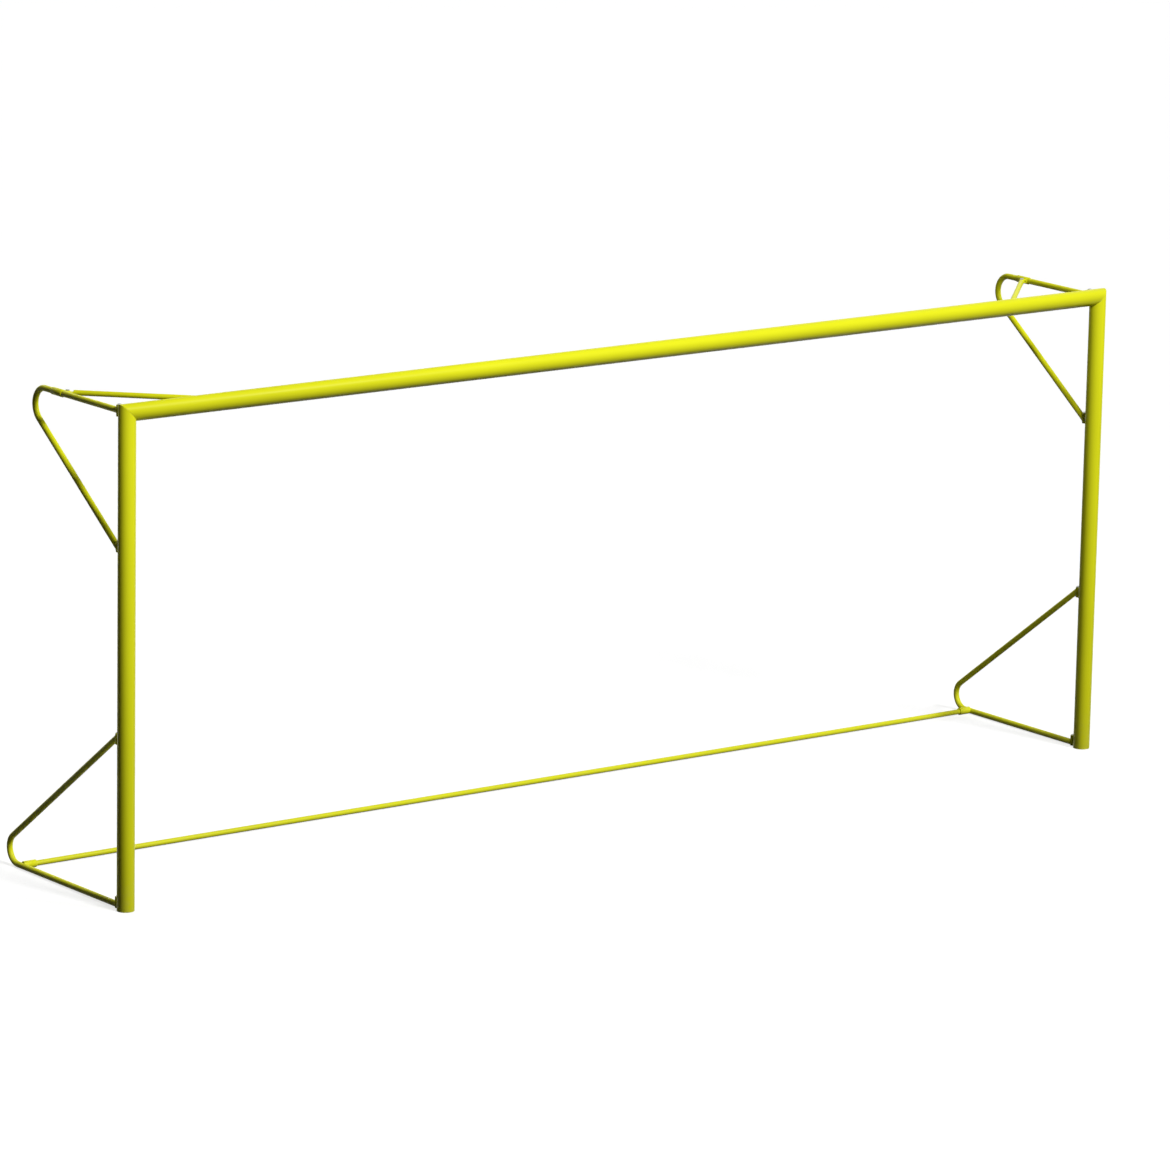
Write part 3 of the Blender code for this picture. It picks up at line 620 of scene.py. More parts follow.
# From the goal line to the shared frame, then onto its body
def hangUp(item, name, body, finish, node):
    settle(item, (0, -layout["middleY"], 0))
    item.name = item.data.name = name
    markRims(item)
    item.data.materials.clear()
    item.data.materials.append(materials[finish])
    hold(item)
    bpy.ops.object.shade_smooth_by_angle(angle=math.radians(workshop["smoothAngle"]))
    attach(item, body)
    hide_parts(node)


# A right-hand piece and its mirror image
def hangPair(item, title, body, finish, node):
    twin = mirrorOf(item, "left_" + title)
    for side, piece in (("right", item), ("left", twin)):
        rides = body if body == "frame" else f"{side}_{body}"
        hangUp(piece, f"{side}_{title}", rides, finish, f"{side}_{node}")


# Tube along Z, or turned from there, cut by planes before its ends are closed
def makeTube(name, radius, wall, bottom, top, sides, rim, turn=upright, cuts=()):
    tube = addCylinder(name, radius, bottom, top, sides, "NOTHING")
    openUp(tube)
    bpy.ops.mesh.select_all(action="SELECT")
    bpy.ops.mesh.duplicate()
    squeeze((radius - wall) / radius)
    bpy.ops.mesh.flip_normals()
    settle(tube, turn=turn)
    for point, normal in cuts:
        sliceOff(tube, point, normal, fill=False)
    axis = Euler(turn).to_matrix() @ Vector((0, 0, 1))
    middle = axis * (bottom + top) / 2
    openUp(tube)
    for end in (-1, 1):
        def atEnd(edge):
            return edge.is_boundary and (edgeMiddle(edge) - middle).dot(axis) * end > 0

        pick(tube, "EDGE", atEnd)
        bpy.ops.mesh.bridge_edge_loops()
    facesOut()
    closeUp()
    roundEdges(tube, rim)
    return tube


weld = {
    "step": 0.0007, "fewestSteps": 4, "stepsPerRipple": 4, "ripple": 0.10, "phase": 0.6,
    "roundness": 2, "ringSteps": 96, "plateSteps": 14,
}


# Points spaced evenly along a path of straight steps
def evenSpots(path, step, closed):
    path = [Vector(spot) for spot in path]
    if closed:
        path.append(path[0])
    lengths = [(b - a).length for a, b in zip(path, path[1:])]
    count = max(weld["fewestSteps"], round(sum(lengths) / step))
    spots, index, passed = [], 0, 0.0
    for number in range(count if closed else count + 1):
        goal = sum(lengths) * number / count
        while index < len(lengths) - 1 and passed + lengths[index] < goal:
            passed += lengths[index]
            index += 1
        share = (goal - passed) / lengths[index] if lengths[index] else 0
        spots.append(path[index].lerp(path[index + 1], min(share, 1)))
    return spots


def ringTurns(steps=weld["ringSteps"]):
    return [2 * math.pi * step / steps for step in range(steps)]


# Weld bead along a path, a little thicker at each ripple; swell(spot) thins it where needed
def makeBead(path, radius, closed=True, swell=None):
    line = bpy.data.curves.new("bead", "CURVE")
    line.dimensions = "3D"
    line.fill_mode = "FULL"
    line.bevel_depth = radius
    line.bevel_resolution = weld["roundness"]
    line.use_fill_caps = not closed
    spots = evenSpots(path, weld["step"], closed)
    spline = line.splines.new("POLY")
    spline.points.add(len(spots) - 1)
    spline.use_cyclic_u = closed
    for number, (point, spot) in enumerate(zip(spline.points, spots)):
        point.co = (*spot, 1)
        wave = math.sin(2 * math.pi * number / weld["stepsPerRipple"] + weld["phase"])
        point.radius = (1 + weld["ripple"] * wave) * (swell(spot) if swell else 1)
    bead = bpy.data.objects.new("bead", line)
    bpy.context.scene.collection.objects.link(bead)
    hold(bead)
    bpy.ops.object.convert(target="MESH")
    bead = bpy.context.object
    openUp(bead)
    facesOut()
    closeUp()
    return bead


# Loop round a plate welded to a tube's rear side; depthAt(x, z) is how far back that side is
def plateLoop(halfWidth, low, high, depthAt):
    corners = [(-halfWidth, low), (-halfWidth, high), (halfWidth, high), (halfWidth, low)]
    path, steps = [], weld["plateSteps"]
    for (x0, z0), (x1, z1) in zip(corners, corners[1:] + corners[:1]):
        for step in range(steps):
            x = x0 + (x1 - x0) * step / steps
            z = z0 + (z1 - z0) * step / steps
            path.append((x, depthAt(x, z), z))
    return path


fastener = {
    "threadRoot": 0.86, "tipTaper": 0.8, "crownSteps": 4,
    "crownTurn": 0.5,  # the top face's rim is where the normals differ more than this
    "keyRise": 0.01, "rounding": 0.0002, "roundingAngle": 50,
}


# Headed fastener: the head stands on height 0 and the shank hangs below
def makeHeaded(name, size):
    item = addRod(name, size["headRadius"], 0, size["headHeight"], size["sides"])
    openUp(item)
    pick(item, "FACE", facesDown)
    bpy.ops.mesh.inset(thickness=size["headRadius"] - size["shankRadius"])
    extrudeBy(0, 0, -(size["length"] - size["thread"] - size["tip"]))
    for half in range(round(size["thread"] / size["pitch"]) * 2):
        extrudeBy(0, 0, -size["pitch"] / 2)
        squeeze(fastener["threadRoot"] if half % 2 == 0 else 1 / fastener["threadRoot"])
    extrudeBy(0, 0, -size["tip"])
    squeeze(fastener["tipTaper"])
    top = size["headHeight"]

    def onCrown(edge):
        level = all(abs(vert.co.z - top) < workshop["level"] for vert in edge.verts)
        rises = [face.normal.z for face in edge.link_faces]
        return level and len(rises) == 2 and abs(rises[0] - rises[1]) > fastener["crownTurn"]

    pick(item, "EDGE", onCrown)
    bpy.ops.mesh.bevel(offset=size["crown"], segments=fastener["crownSteps"], affect="EDGES")
    facesOut()
    closeUp()
    if size["socket"]:
        keyTop = top + fastener["keyRise"]
        key = addRod("key", size["socket"], top - size["socketDepth"], keyTop, facets["hexagon"])
        cutAway(item, key)
    roundEdges(item, fastener["rounding"], 1, fastener["roundingAngle"])
    return item


# Front frame: two posts and the crossbar, mitred together

frontFrame = {
    "wall": 0.002,
    "rim": 0.0009,  # rounding at the mitres, which makes the seam show
    "spare": 0.03,  # length that the mitre cuts away again
    "capHeight": 0.003,
    "screwFromCorner": 0.100, "screwHole": 0.0043, "holeDepth": 0.07, "holeSides": 24,
}


def holeToRear(tube, spot):
    depth, sides = frontFrame["holeDepth"], frontFrame["holeSides"]
    drill = addRod("drill", frontFrame["screwHole"], 0, depth, sides, toRear)
    cutAway(tube, settle(drill, spot))


def makePost():
    reach = layout["tubeRadius"] + frontFrame["spare"]
    away = Vector((-1, 0, 1)).normalized()
    point = Vector((0, 0, layout["barZ"])) - away * layout["gap"] / 2
    bottom = frontFrame["capHeight"] + layout["gap"]
    top = layout["barZ"] + reach
    post = makeTube("post", layout["tubeRadius"], frontFrame["wall"], bottom, top,
                    facets["frame"], frontFrame["rim"], cuts=[(point, away)])
    holeToRear(post, (0, 0, layout["barZ"] - frontFrame["screwFromCorner"]))
    return settle(post, (layout["postX"], 0, 0))


def makeCrossbar():
    half = layout["postX"] + layout["tubeRadius"] + frontFrame["spare"]
    cuts = []
    for side in (-1, 1):
        away = Vector((side, 0, -1)).normalized()
        cuts.append((Vector((side * layout["postX"], 0, 0)) - away * layout["gap"] / 2, away))
    bar = makeTube("crossbar", layout["tubeRadius"], frontFrame["wall"], -half, half,
                   facets["frame"], frontFrame["rim"], sideways, cuts)
    for side in (-1, 1):
        holeToRear(bar, (side * (layout["postX"] - frontFrame["screwFromCorner"]), 0, 0))
    return settle(bar, (0, 0, layout["barZ"]))


hangPair(makePost(), "postTube", "frame", "yellow_paint", "post")
hangUp(makeCrossbar(), "crossbarTube", "frame", "yellow_paint", "crossbar")
print("posts and crossbar made")


# Foot caps and corner screws

footCap = {
    "plugLength": 0.025, "plugWall": 0.003, "rounding": 0.0005, "treadDepth": 0.0008,
    "treads": ((0.006, 0.0035), (0.007, 0.0035), (0.006, 0.0035)),  # band, then groove, inwards
}
cornerScrew = {
    "headRadius": 0.007, "headHeight": 0.004, "shankRadius": 0.004, "length": 0.0096,
    "thread": 0.006, "pitch": 0.0012, "tip": 0.0004, "crown": 0.0016,
    "socket": 0.0028, "socketDepth": 0.0022, "sides": 32,
}


def makeFootCap():
    radius = layout["tubeRadius"]
    bore = radius - frontFrame["wall"] - layout["gap"]
    cap = addRod("footCap", radius, 0, frontFrame["capHeight"], facets["frame"])
    openUp(cap)
    pick(cap, "FACE", facesUp)
    bpy.ops.mesh.inset(thickness=radius - bore)
    extrudeBy(0, 0, footCap["plugLength"])
    bpy.ops.mesh.inset(thickness=footCap["plugWall"])
    extrudeBy(0, 0, -footCap["plugLength"])
    # Ring grooves underneath
    pick(cap, "FACE", facesDown)
    for band, groove in footCap["treads"]:
        bpy.ops.mesh.inset(thickness=band)
        extrudeBy(0, 0, footCap["treadDepth"])
        bpy.ops.mesh.inset(thickness=groove)
        extrudeBy(0, 0, -footCap["treadDepth"])
    facesOut()
    closeUp()
    roundEdges(cap, footCap["rounding"])
    return settle(cap, (layout["postX"], 0, 0))


def makeCornerScrew(member):
    screw = makeHeaded("cornerScrew", cornerScrew)
    inset = frontFrame["screwFromCorner"]
    spots = {
        "post": (layout["postX"], clearRadius, layout["barZ"] - inset),
        "bar": (layout["postX"] - inset, clearRadius, layout["barZ"]),
    }
    return settle(screw, spots[member], toRear)


hangPair(makeFootCap(), "footCap", "frame", "yellow_plastic", "foot_cap")
for member in ("post", "bar"):
    screwTitle = f"cornerScrew_{member}"
    hangPair(makeCornerScrew(member), screwTitle, "frame", "zinc_steel", f"corner_{member}_screw")
print("foot caps and corner screws made")


# Net hoops: a level run from the hinge, a bend, and a sloping leg back to the hinge

hoops = {
    "upper": {"depth": 0.907, "runZ": 2.24, "hingeZ": 1.625, "bend": 0.080},
    "lower": {"depth": 1.100, "runZ": 0.014, "hingeZ": 0.780, "bend": 0.070},
}
hoopTube = {
    "wall": 0.002,
    "bendSteps": 28,
    "weldRadius": 0.0021,
    "weldThinned": 0.34,  # share of the bead that is left at the barrel's sides
    "groundWeldLow": 0.0062,
}
hinge = {
    "barrelRadius": 0.014, "barrelHeight": 0.040, "bore": 0.0063,
    "earThickness": 0.005, "earRadius": 0.0137, "neckWidth": 0.016, "neckFront": 0.040,
    "webWidth": 0.028, "webFront": 0.020, "webDepth": 0.007, "slotReach": 0.04,
    "rounding": 0.0006, "weldRadius": 0.0018, "groundWeldRise": 0.0026,
}
bracketHalf = hinge["barrelHeight"] / 2 + layout["gap"] + hinge["earThickness"]


# How far the tube turns at the bend, and where its level run ends behind the hinge axis
def bendPlace(shape):
    reach = shape["depth"] - layout["hingeY"]
    turn = math.pi - math.atan2(abs(shape["hingeZ"] - shape["runZ"]), reach)
    return turn, reach - shape["bend"] * math.tan(turn / 2)


def legAngle(shape):
    return math.atan2(shape["runZ"] - shape["hingeZ"], shape["depth"] - layout["hingeY"])


# Saddle where a hoop's tube meets the barrel, rising at an angle from the hinge axis
def saddlePath(height, angle, lowest=None):
    tube, barrel = layout["hoopRadius"], hinge["barrelRadius"]
    path = []
    for around in ringTurns():
        x = tube * math.sin(around - math.pi)
        rise = tube * math.cos(around - math.pi)
        back = math.sqrt(max(barrel ** 2 - x ** 2, 0))
        along = (back + rise * math.sin(angle)) / math.cos(angle)
        z = height + along * math.sin(angle) + rise * math.cos(angle)
        if lowest is None or z >= lowest:
            path.append((x, back, z))
    return path


def makeHoop(level):
    shape = hoops[level]
    turn, runEnd = bendPlace(shape)
    upward = 1 if shape["hingeZ"] > shape["runZ"] else -1
    clearHands()
    bpy.ops.mesh.primitive_circle_add(
        vertices=facets["rod"], radius=layout["hoopRadius"], fill_type="NOTHING",
        location=(0, 0, shape["runZ"]), rotation=(math.radians(90), 0, 0)
    )
    hoop = newest(level + "Hoop")
    bakePlace()
    openUp(hoop)
    bpy.ops.mesh.select_all(action="SELECT")
    extrudeBy(0, runEnd, 0)
    bpy.ops.mesh.spin(
        steps=hoopTube["bendSteps"], angle=turn, dupli=False, axis=(-upward, 0, 0),
        center=(0, runEnd, shape["runZ"] + upward * shape["bend"])
    )
    angle = legAngle(shape)
    startY = runEnd + shape["bend"] * math.sin(turn)
    startZ = shape["runZ"] + upward * shape["bend"] * (1 - math.cos(turn))
    extrudeBy(0, -startY, shape["hingeZ"] - startZ)
    facesOut()
    closeUp()
    addModifier(hoop, "SOLIDIFY", thickness=hoopTube["wall"], offset=-1, use_even_offset=False)
    spare, copeRadius = workshop["through"], hinge["barrelRadius"] + layout["gap"]
    cope = addRod("cope", copeRadius, -spare, layout["barZ"] + spare, facets["fitting"])
    cutAway(hoop, cope)

    def swell(spot):
        thin = hoopTube["weldThinned"]
        return thin + (1 - thin) * min(1, spot.y / hinge["barrelRadius"])

    onGround = level == "lower"
    runPath = saddlePath(shape["runZ"], 0, hoopTube["groundWeldLow"] if onGround else None)
    legPath = saddlePath(shape["hingeZ"], angle)
    runBead = makeBead(runPath, hoopTube["weldRadius"], not onGround, swell)
    legBead = makeBead(legPath, hoopTube["weldRadius"], True, swell)
    joinAll(hoop, runBead, legBead)
    return settle(hoop, (layout["postX"], layout["hingeY"], 0))


# Heights at which the barrels of a hoop are centred
def barrelHeights(level):
    shape = hoops[level]
    meets = shape["hingeZ"] + math.tan(legAngle(shape)) * hinge["barrelRadius"]
    if level == "upper":
        return {"top": shape["runZ"], "bottom": meets}
    return {"top": meets, "bottom": bracketHalf}


def makeBarrel():
    radius, half = hinge["barrelRadius"], hinge["barrelHeight"] / 2
    wall = radius - hinge["bore"]
    return makeTube("barrel", radius, wall, -half, half, facets["fitting"], hinge["rounding"])


# How far behind the post axis the front frame's surface is, near a bracket
def frameDepth(x, z, atCorner):
    across = z if atCorner and x < z else x
    return math.sqrt(layout["tubeRadius"] ** 2 - across ** 2)


def makeBracket(atCorner=False, onGround=False):
    halfWeb, halfNeck, high = hinge["webWidth"] / 2, hinge["neckWidth"] / 2, bracketHalf
    hingeY, reach = layout["hingeY"], hinge["slotReach"]
    webFront, neckFront = hinge["webFront"] - hingeY, hinge["neckFront"] - hingeY
    webRear = layout["tubeRadius"] + hinge["webDepth"] - hingeY
    bracket = addBlock("bracket", (-halfWeb, webFront, -high), (halfWeb, webRear, high))
    neck = addBlock("neck", (-halfNeck, neckFront, -high), (halfNeck, 0, high))
    combine(bracket, neck, "UNION")
    ear = addRod("ear", hinge["earRadius"], -high, high, facets["fitting"])
    combine(bracket, ear, "UNION")
    half = hinge["barrelHeight"] / 2 + layout["gap"]
    slot = addBlock("slot", (-reach, webRear, -half), (reach, reach, half))
    cutAway(bracket, slot)
    postSpace = addCutter("postSpace", clearRadius, facets["frame"])
    if atCorner:
        sliceOff(postSpace, origin, (-1, 0, 1))
        barSpace = addCutter("barSpace", clearRadius, facets["frame"], sideways)
        sliceOff(barSpace, origin, (1, 0, -1))
        cutAway(bracket, settle(barSpace, (0, -hingeY, 0)))
    cutAway(bracket, settle(postSpace, (0, -hingeY, 0)))
    drillThrough(bracket, hinge["bore"])
    roundEdges(bracket, hinge["rounding"])

    def depthAt(x, z):
        return frameDepth(x, z, atCorner) - hingeY

    edge = layout["gap"]
    low = -high + hinge["groundWeldRise"] if onGround else -high - edge
    path = plateLoop(halfWeb + edge, low, high + edge, depthAt)
    if onGround:  # the side along the ground gets no bead
        path = path[:len(path) * 3 // 4 + 1]
    return joinAll(bracket, makeBead(path, hinge["weldRadius"], not onGround))


hingePin = {
    "headRadius": 0.009, "headHeight": 0.005, "shankRadius": 0.006, "length": 0.0504,
    "thread": 0, "pitch": 1, "tip": 0.0012, "crown": 0.0018,
    "socket": 0, "sides": 48,
}
barrelModel = makeBarrel()
pinModel = makeHeaded("hingePin", hingePin)
bracketModels = {
    "upper_top": makeBracket(atCorner=True),
    "lower_bottom": makeBracket(onGround=True),
    "other": makeBracket(),
}
for level in hoops:
    hangPair(makeHoop(level), f"{level}HoopTube", f"{level}_hoop", "yellow_paint", f"{level}_hoop")
    for end, height in barrelHeights(level).items():
        label = f"{level}_{end}"
        spot = (layout["postX"], layout["hingeY"], height)
        bracketModel = bracketModels.get(label, bracketModels["other"])
        bracket = settle(copyOf(bracketModel, "bracket"), spot)
        hangPair(bracket, label + "_hingeBracket", "frame", "yellow_paint", label + "_bracket")
        barrel = settle(copyOf(barrelModel, "barrel"), spot)
        hangPair(barrel, label + "_hingeBarrel", f"{level}_hoop", "yellow_paint", label + "_barrel")
        pinSeat = (layout["postX"], layout["hingeY"], height + bracketHalf + layout["gap"])
        pin = settle(copyOf(pinModel, "pin"), pinSeat)
        hangPair(pin, label + "_hingePin", "frame", "zinc_steel", label + "_pin")
for model in (barrelModel, pinModel, *bracketModels.values()):
    bpy.data.objects.remove(model, do_unlink=True)
print("hoops and hinges made")


# Corner braces, their sleeves and the crossbar lugs

brace = {
    "radius": 0.0125, "angle": math.radians(45), "tab": 0.006, "boltHole": 0.0053,
    "eyeRadius": 0.012, "eyeToTube": 0.028, "neckOverlap": 0.01, "tabInset": 0.018,
    "hookWidth": 0.026, "hookNose": 0.020, "noseCut": 0.006, "hookTip": 0.004, "hookWall": 0.014,
    "hookPlay": 0.0004, "hookRelief": math.radians(3), "hookToTube": 0.032,
    "cutBehind": 0.03, "cutAhead": 0.05, "cutHeight": 0.02,  # reach of the hook's cutters
    "weldRadius": 0.0011, "rounding": 0.0005, "endRounding": 0.0012,
}
sleeve = {
    "length": 0.080, "toBend": 0.067, "bore": 0.0143, "radius": 0.017,
    "ear": 0.005, "earSetback": 0.002, "foldClearance": 0.0025,
    "weldRadius": 0.0016, "weldSteps": 72, "rounding": 0.0004,
}
lug = {
    "width": 0.030, "webFront": 0.020, "webDepth": 0.006, "webRise": 0.016, "webRounding": 0.0012,
    "shelf": 0.006, "shelfFront": 0.030, "edge": 0.013, "boltSetback": 0.026,
    "weldRadius": 0.0018, "underWeld": 0.0013,
}
bolt = {
    "headRadius": 0.009, "headHeight": 0.005, "shankRadius": 0.005, "beyondNut": 0.003,
    "thread": 0.015, "pitch": 0.0015, "tip": 0.0005, "crown": 0.0015,
    "socket": 0.0034, "socketDepth": 0.0030, "sides": 48,
}
nut = {
    "radius": 0.009, "height": 0.008, "hole": 0.0053,
    "crownRadius": 0.985, "crownDrop": 0.0022, "crownBelt": 1.085, "crownTop": 0.84,
    "flangeRadius": 0.011, "flangeHeight": 0.002, "flangeTop": 0.88,
    "rounding": 0.0003, "roundingAngle": 30,
}

sleeveRear = bendPlace(hoops["upper"])[1] + layout["hingeY"] - sleeve["toBend"]
sleeveFront = sleeveRear - sleeve["length"]
pivotOffset = sleeve["radius"] + sleeve["foldClearance"] + brace["radius"]
pivotY = sleeveFront + sleeve["earSetback"] + brace["eyeRadius"]
pivotSpot = (layout["postX"] - pivotOffset, pivotY, layout["barZ"])
boltY = layout["tubeRadius"] + lug["boltSetback"]
braceLength = (pivotY - boltY) / math.cos(brace["angle"])
lugX = layout["postX"] - pivotOffset - braceLength * math.sin(brace["angle"])


# Plate end of the brace that drops over the lug's bolt, with the bolt at the origin
def makeHook():
    half, thick = brace["hookWidth"] / 2, brace["tab"] / 2
    root = -brace["hookToTube"] - brace["tabInset"]
    hook = addBlock("hook", (root, -half, -thick), (brace["hookNose"], half, thick))
    sliceOff(hook, (brace["hookNose"], brace["noseCut"] - half, 0), (1, -1, 0))
    notch = bolt["shankRadius"] + brace["hookPlay"]
    slope = brace["angle"]
    across = Vector((math.sin(slope), -math.cos(slope), 0))
    away = Vector((math.cos(slope), math.sin(slope), 0))
    wallTip = across * notch + away * brace["hookWall"]
    # Open throat: between the relieved side, the slanted wall and the bolt's seat
    behind, ahead, high = brace["cutBehind"], brace["cutAhead"], brace["cutHeight"]
    throat = addBlock("throat", (-behind, -behind, -high), (ahead, ahead, high))
    sliceOff(throat, (-notch, 0, 0), (-1, -math.tan(brace["hookRelief"]), 0))
    sliceOff(throat, across * notch, across)
    seatLine = across * notch - Vector((-notch, 0, 0))
    sliceOff(throat, (-notch, 0, 0), (seatLine.y, -seatLine.x, 0))
    cutAway(hook, throat)
    tipLine = Vector((brace["hookNose"], brace["hookTip"], 0)) - wallTip
    above = addBlock("above", (0, 0, -high), (ahead, ahead, high))
    sliceOff(above, wallTip, (tipLine.y, -tipLine.x, 0))
    cutAway(hook, above)
    drillThrough(hook, notch)
    return hook


def makeBrace():
    tab = brace["tab"] / 2
    eyeEnd, hookStart = brace["eyeToTube"], braceLength - brace["hookToTube"]
    item = addRod("brace", brace["radius"], eyeEnd, hookStart, facets["rod"], sideways)
    roundEdges(item, brace["endRounding"], workshop["fineSteps"])
    eyeRadius, neckEnd = brace["eyeRadius"], eyeEnd + brace["neckOverlap"]
    eye = addRod("eye", eyeRadius, -tab, tab, facets["rod"])
    neck = addBlock("neck", (0, -eyeRadius, -tab), (neckEnd, eyeRadius, tab))
    combine(eye, neck, "UNION")
    drillThrough(eye, brace["boltHole"])
    roundEdges(eye, brace["rounding"])
    hook = makeHook()
    roundEdges(hook, brace["rounding"])
    settle(hook, (braceLength, 0, 0))
    beads = []
    for x, half in ((eyeEnd, eyeRadius), (hookStart, brace["hookWidth"] / 2)):
        path = [(x, -half, -tab), (x, half, -tab), (x, half, tab), (x, -half, tab)]
        beads.append(makeBead(path, brace["weldRadius"]))
    joinAll(item, eye, hook, *beads)
    heading = math.atan2(-math.cos(brace["angle"]), -math.sin(brace["angle"]))
    return settle(item, pivotSpot, (0, 0, heading))


def makeSleeve():
    length, hoopX, sides = sleeve["length"], layout["postX"], facets["fitting"]
    start = (hoopX, sleeveFront, layout["barZ"])
    item = settle(addRod("sleeve", sleeve["radius"], 0, length, sides, toRear), start)
    x, y, z = pivotSpot
    eyeRadius, half = brace["eyeRadius"], sleeve["ear"] / 2
    shift = brace["tab"] / 2 + layout["gap"] + half
    for level in (z + shift, z - shift):
        ear = settle(addRod("ear", eyeRadius, -half, half, facets["rod"]), (x, y, level))
        low, high = (x, y - eyeRadius, level - half), (hoopX, y + eyeRadius, level + half)
        combine(ear, addBlock("neck", low, high), "UNION")
        combine(item, ear, "UNION")
    spare = workshop["through"]
    bore = addRod("bore", sleeve["bore"], -spare, length + spare, sides, toRear)
    cutAway(item, settle(bore, start))
    drillThrough(item, brace["boltHole"], pivotSpot)
    roundEdges(item, sleeve["rounding"])
    beads = []
    ring = (sleeve["bore"] + sleeve["radius"]) / 2
    turns = ringTurns(sleeve["weldSteps"])
    for endY in (sleeveFront, sleeveFront + length):
        path = [(hoopX + ring * math.cos(a), endY, z + ring * math.sin(a)) for a in turns]
        beads.append(makeBead(path, sleeve["weldRadius"]))
    return joinAll(item, *beads)


def makeLug():
    halfTab = brace["tab"] / 2
    shelfTop = -halfTab - layout["gap"]
    shelfBottom = shelfTop - lug["shelf"]
    half, edge, high = lug["width"] / 2, lug["edge"], lug["webRise"]
    rear = layout["tubeRadius"] + lug["webDepth"]
    item = addBlock("lug", (-half, lug["webFront"], -high), (half, rear, high))

    def atRear(line):
        return all(abs(vert.co.y - rear) < workshop["level"] for vert in line.verts)

    openUp(item)
    pick(item, "EDGE", atRear)
    rounding, steps = lug["webRounding"], workshop["fineSteps"]
    bpy.ops.mesh.bevel(offset=rounding, segments=steps, affect="EDGES")
    closeUp()
    shelf = addBlock("shelf", (-edge, lug["shelfFront"], shelfBottom), (edge, boltY, shelfTop))
    tip = addRod("tip", edge, shelfBottom, shelfTop, facets["rod"])
    combine(shelf, settle(tip, (0, boltY, 0)), "UNION")
    combine(item, shelf, "UNION")
    cutAway(item, addCutter("barSpace", clearRadius, facets["frame"], sideways))
    drillThrough(item, brace["boltHole"], (0, boltY, 0))
    roundEdges(item, brace["rounding"])

    def depthAt(x, z):
        return math.sqrt(layout["tubeRadius"] ** 2 - z ** 2)

    around = makeBead(plateLoop(half, -high, high, depthAt), lug["weldRadius"])
    under = [(-edge, rear, shelfBottom), (edge, rear, shelfBottom)]
    joinAll(item, around, makeBead(under, lug["underWeld"], False))
    return settle(item, (lugX, 0, layout["barZ"]))


def makeBolt(toNut):
    size = dict(bolt, length=toNut + nut["flangeHeight"] + nut["height"] + bolt["beyondNut"])
    return makeHeaded("bolt", size)


# Flanged nut that stands on height 0
def makeNut():
    step = nut["flangeHeight"]
    top = step + nut["height"]
    belt = top - nut["crownDrop"]
    item = addRod("nut", nut["radius"], step / 2, top, facets["hexagon"])
    crown = addRod("crown", nut["radius"] * nut["crownRadius"], 0, top, facets["rod"])
    openUp(crown)
    pick(crown, "FACE", facesUp)
    squeeze(nut["crownTop"], top)
    bpy.ops.mesh.select_all(action="SELECT")
    bpy.ops.mesh.bisect(plane_co=(0, 0, belt), plane_no=(0, 0, 1))
    pick(crown, "VERT", lambda vert: abs(vert.co.z - belt) < workshop["level"])
    squeeze(nut["crownBelt"], belt)
    closeUp()
    combine(item, crown, "INTERSECT")
    flange = addRod("flange", nut["flangeRadius"], 0, step, facets["rod"])
    openUp(flange)
    pick(flange, "FACE", facesUp)
    squeeze(nut["flangeTop"], step)
    closeUp()
    combine(item, flange, "UNION")
    drillThrough(item, nut["hole"])
    roundEdges(item, nut["rounding"], 1, nut["roundingAngle"])
    return item


hangPair(makeSleeve(), "braceSleeve", "upper_hoop", "yellow_paint", "brace_sleeve")
hangPair(makeBrace(), "braceBar", "brace", "yellow_paint", "brace")
hangPair(makeLug(), "braceLug", "frame", "yellow_paint", "brace_lug")
pivotSeat = brace["tab"] / 2 + 2 * layout["gap"] + sleeve["ear"]
pivotX, _, barZ = pivotSpot
pivotBolt = settle(makeBolt(2 * pivotSeat), (pivotX, pivotY, barZ + pivotSeat))
hangPair(pivotBolt, "pivotBolt", "upper_hoop", "zinc_steel", "pivot_bolt")
nutModel = makeNut()
pivotNut = settle(copyOf(nutModel, "nut"), (pivotX, pivotY, barZ - pivotSeat), (math.pi, 0, 0))
hangPair(pivotNut, "pivotNut", "upper_hoop", "zinc_steel", "pivot_nut")
lugHeadZ = barZ - brace["tab"] / 2 - 2 * layout["gap"] - lug["shelf"]
lugNutZ = barZ + brace["tab"] / 2 + layout["gap"]
lugBolt = settle(makeBolt(lugNutZ - lugHeadZ), (lugX, boltY, lugHeadZ), (math.pi, 0, 0))
hangPair(lugBolt, "lugBolt", "frame", "zinc_steel", "lug_bolt")
hangPair(settle(nutModel, (lugX, boltY, lugNutZ)), "lugNut", "frame", "zinc_steel", "lug_nut")
print("braces, sleeves and lugs made")


# Ground bar and its sockets

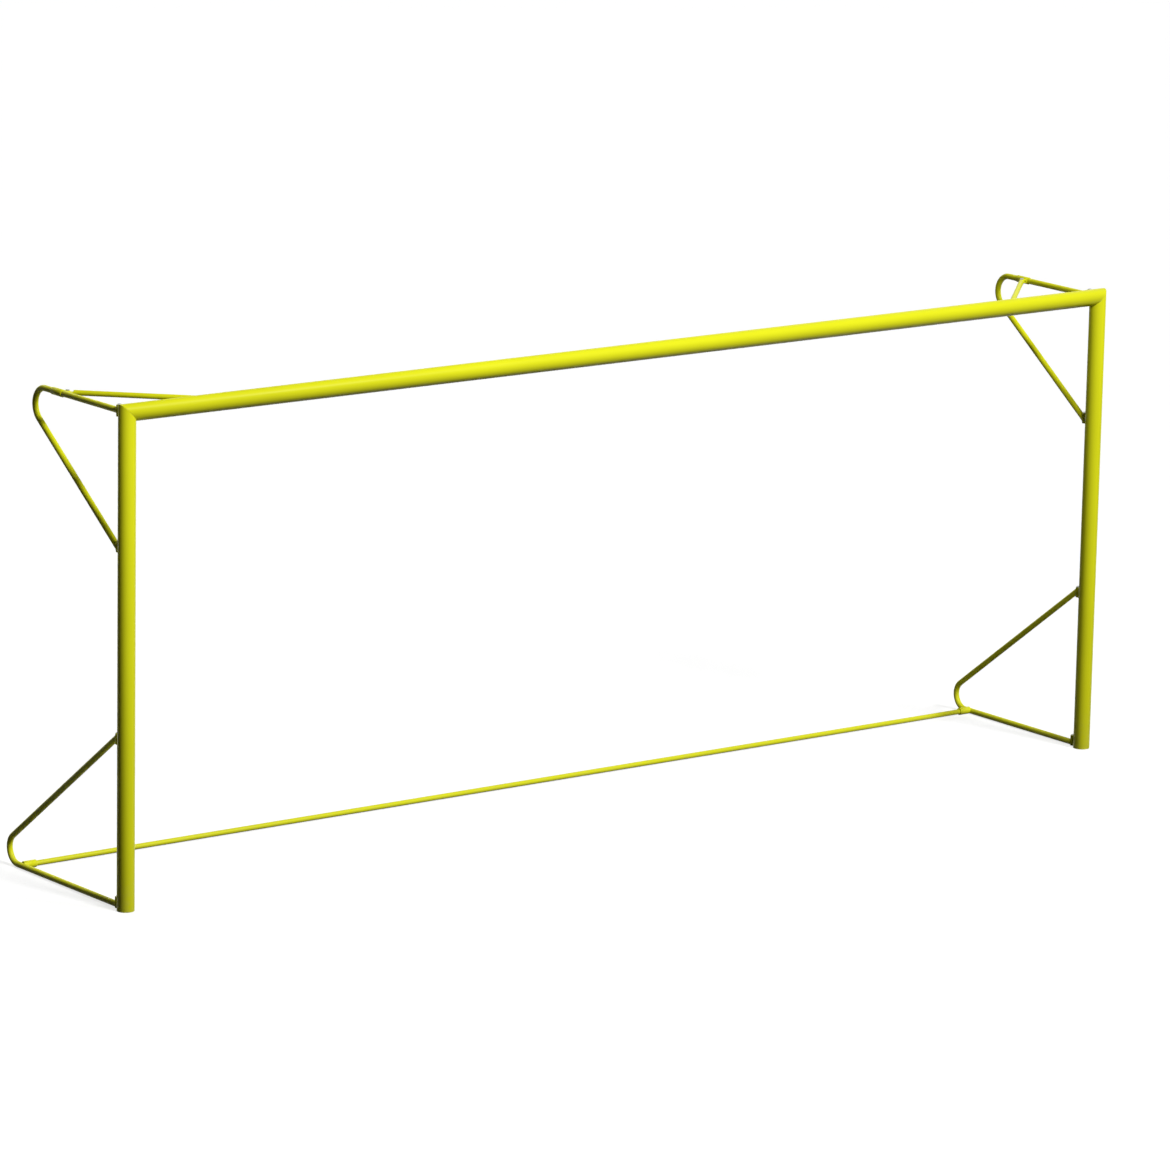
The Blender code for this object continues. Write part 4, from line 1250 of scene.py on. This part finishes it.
groundBar = {
    "radius": 0.0125, "wall": 0.002, "rim": 0.0005, "toBend": 0.037, "engaged": 0.004,
    "socketPlay": 0.001, "socketWall": 0.004, "socketReach": 0.070, "socketStart": 0.006,
    "socketRim": 0.0006, "weldRadius": 0.0019, "weldInset": 0.0022, "weldOverlap": 0.0005,
    "weldThinned": 0.62, "thinnedBelow": -0.011,  # so that the bead stays off the ground
}
groundY = bendPlace(hoops["lower"])[1] + layout["hingeY"] - groundBar["toBend"]
socketBore = groundBar["radius"] + groundBar["socketPlay"]
socketRadius = socketBore + groundBar["socketWall"]


def makeGroundBar():
    half = layout["postX"] - groundBar["socketReach"] + groundBar["engaged"]
    bar = makeTube("groundBar", groundBar["radius"], groundBar["wall"], -half, half,
                   facets["rod"], groundBar["rim"], sideways)
    return settle(bar, (0, groundY, socketRadius - groundBar["socketPlay"] + layout["gap"]))


def makeSocket():
    start = groundBar["socketStart"]
    tube = makeTube("socket", socketRadius, groundBar["socketWall"], start,
                    groundBar["socketReach"], facets["fitting"], groundBar["socketRim"], toMiddle)
    run = layout["hoopRadius"]
    drop = run - socketRadius  # from the socket's axis to the hoop's
    space = addCutter("hoopSpace", run + layout["gap"], facets["fitting"], toRear)
    cutAway(tube, settle(space, (0, 0, drop)))
    ring = socketRadius - groundBar["weldInset"]
    nearest = start - groundBar["weldOverlap"]
    path = []
    for around in ringTurns():
        z = ring * math.cos(around)
        side = math.sqrt(max(run ** 2 - (z - drop) ** 2, 0))
        path.append((-max(nearest, side), ring * math.sin(around), z))

    def swell(spot):
        return groundBar["weldThinned"] if spot.z < groundBar["thinnedBelow"] else 1

    joinAll(tube, makeBead(path, groundBar["weldRadius"], True, swell))
    return settle(tube, (layout["postX"], groundY, socketRadius))


hangUp(makeGroundBar(), "groundBarTube", "frame", "yellow_paint", "ground_bar")
hangPair(makeSocket(), "barSocket", "lower_hoop", "yellow_paint", "bar_socket")
print("ground bar and sockets made")


# CAD nodes that stay as they are, with their own finish

keptNodes = {"corner_joint": "cast_aluminium", "bar_plug": "black_plastic"}
for title, finish in keptNodes.items():
    for side in ("left", "right"):
        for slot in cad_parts[f"{side}_{title}"].material_slots:
            slot.material = materials[finish]
print("kept nodes finished:", ", ".join(keptNodes))
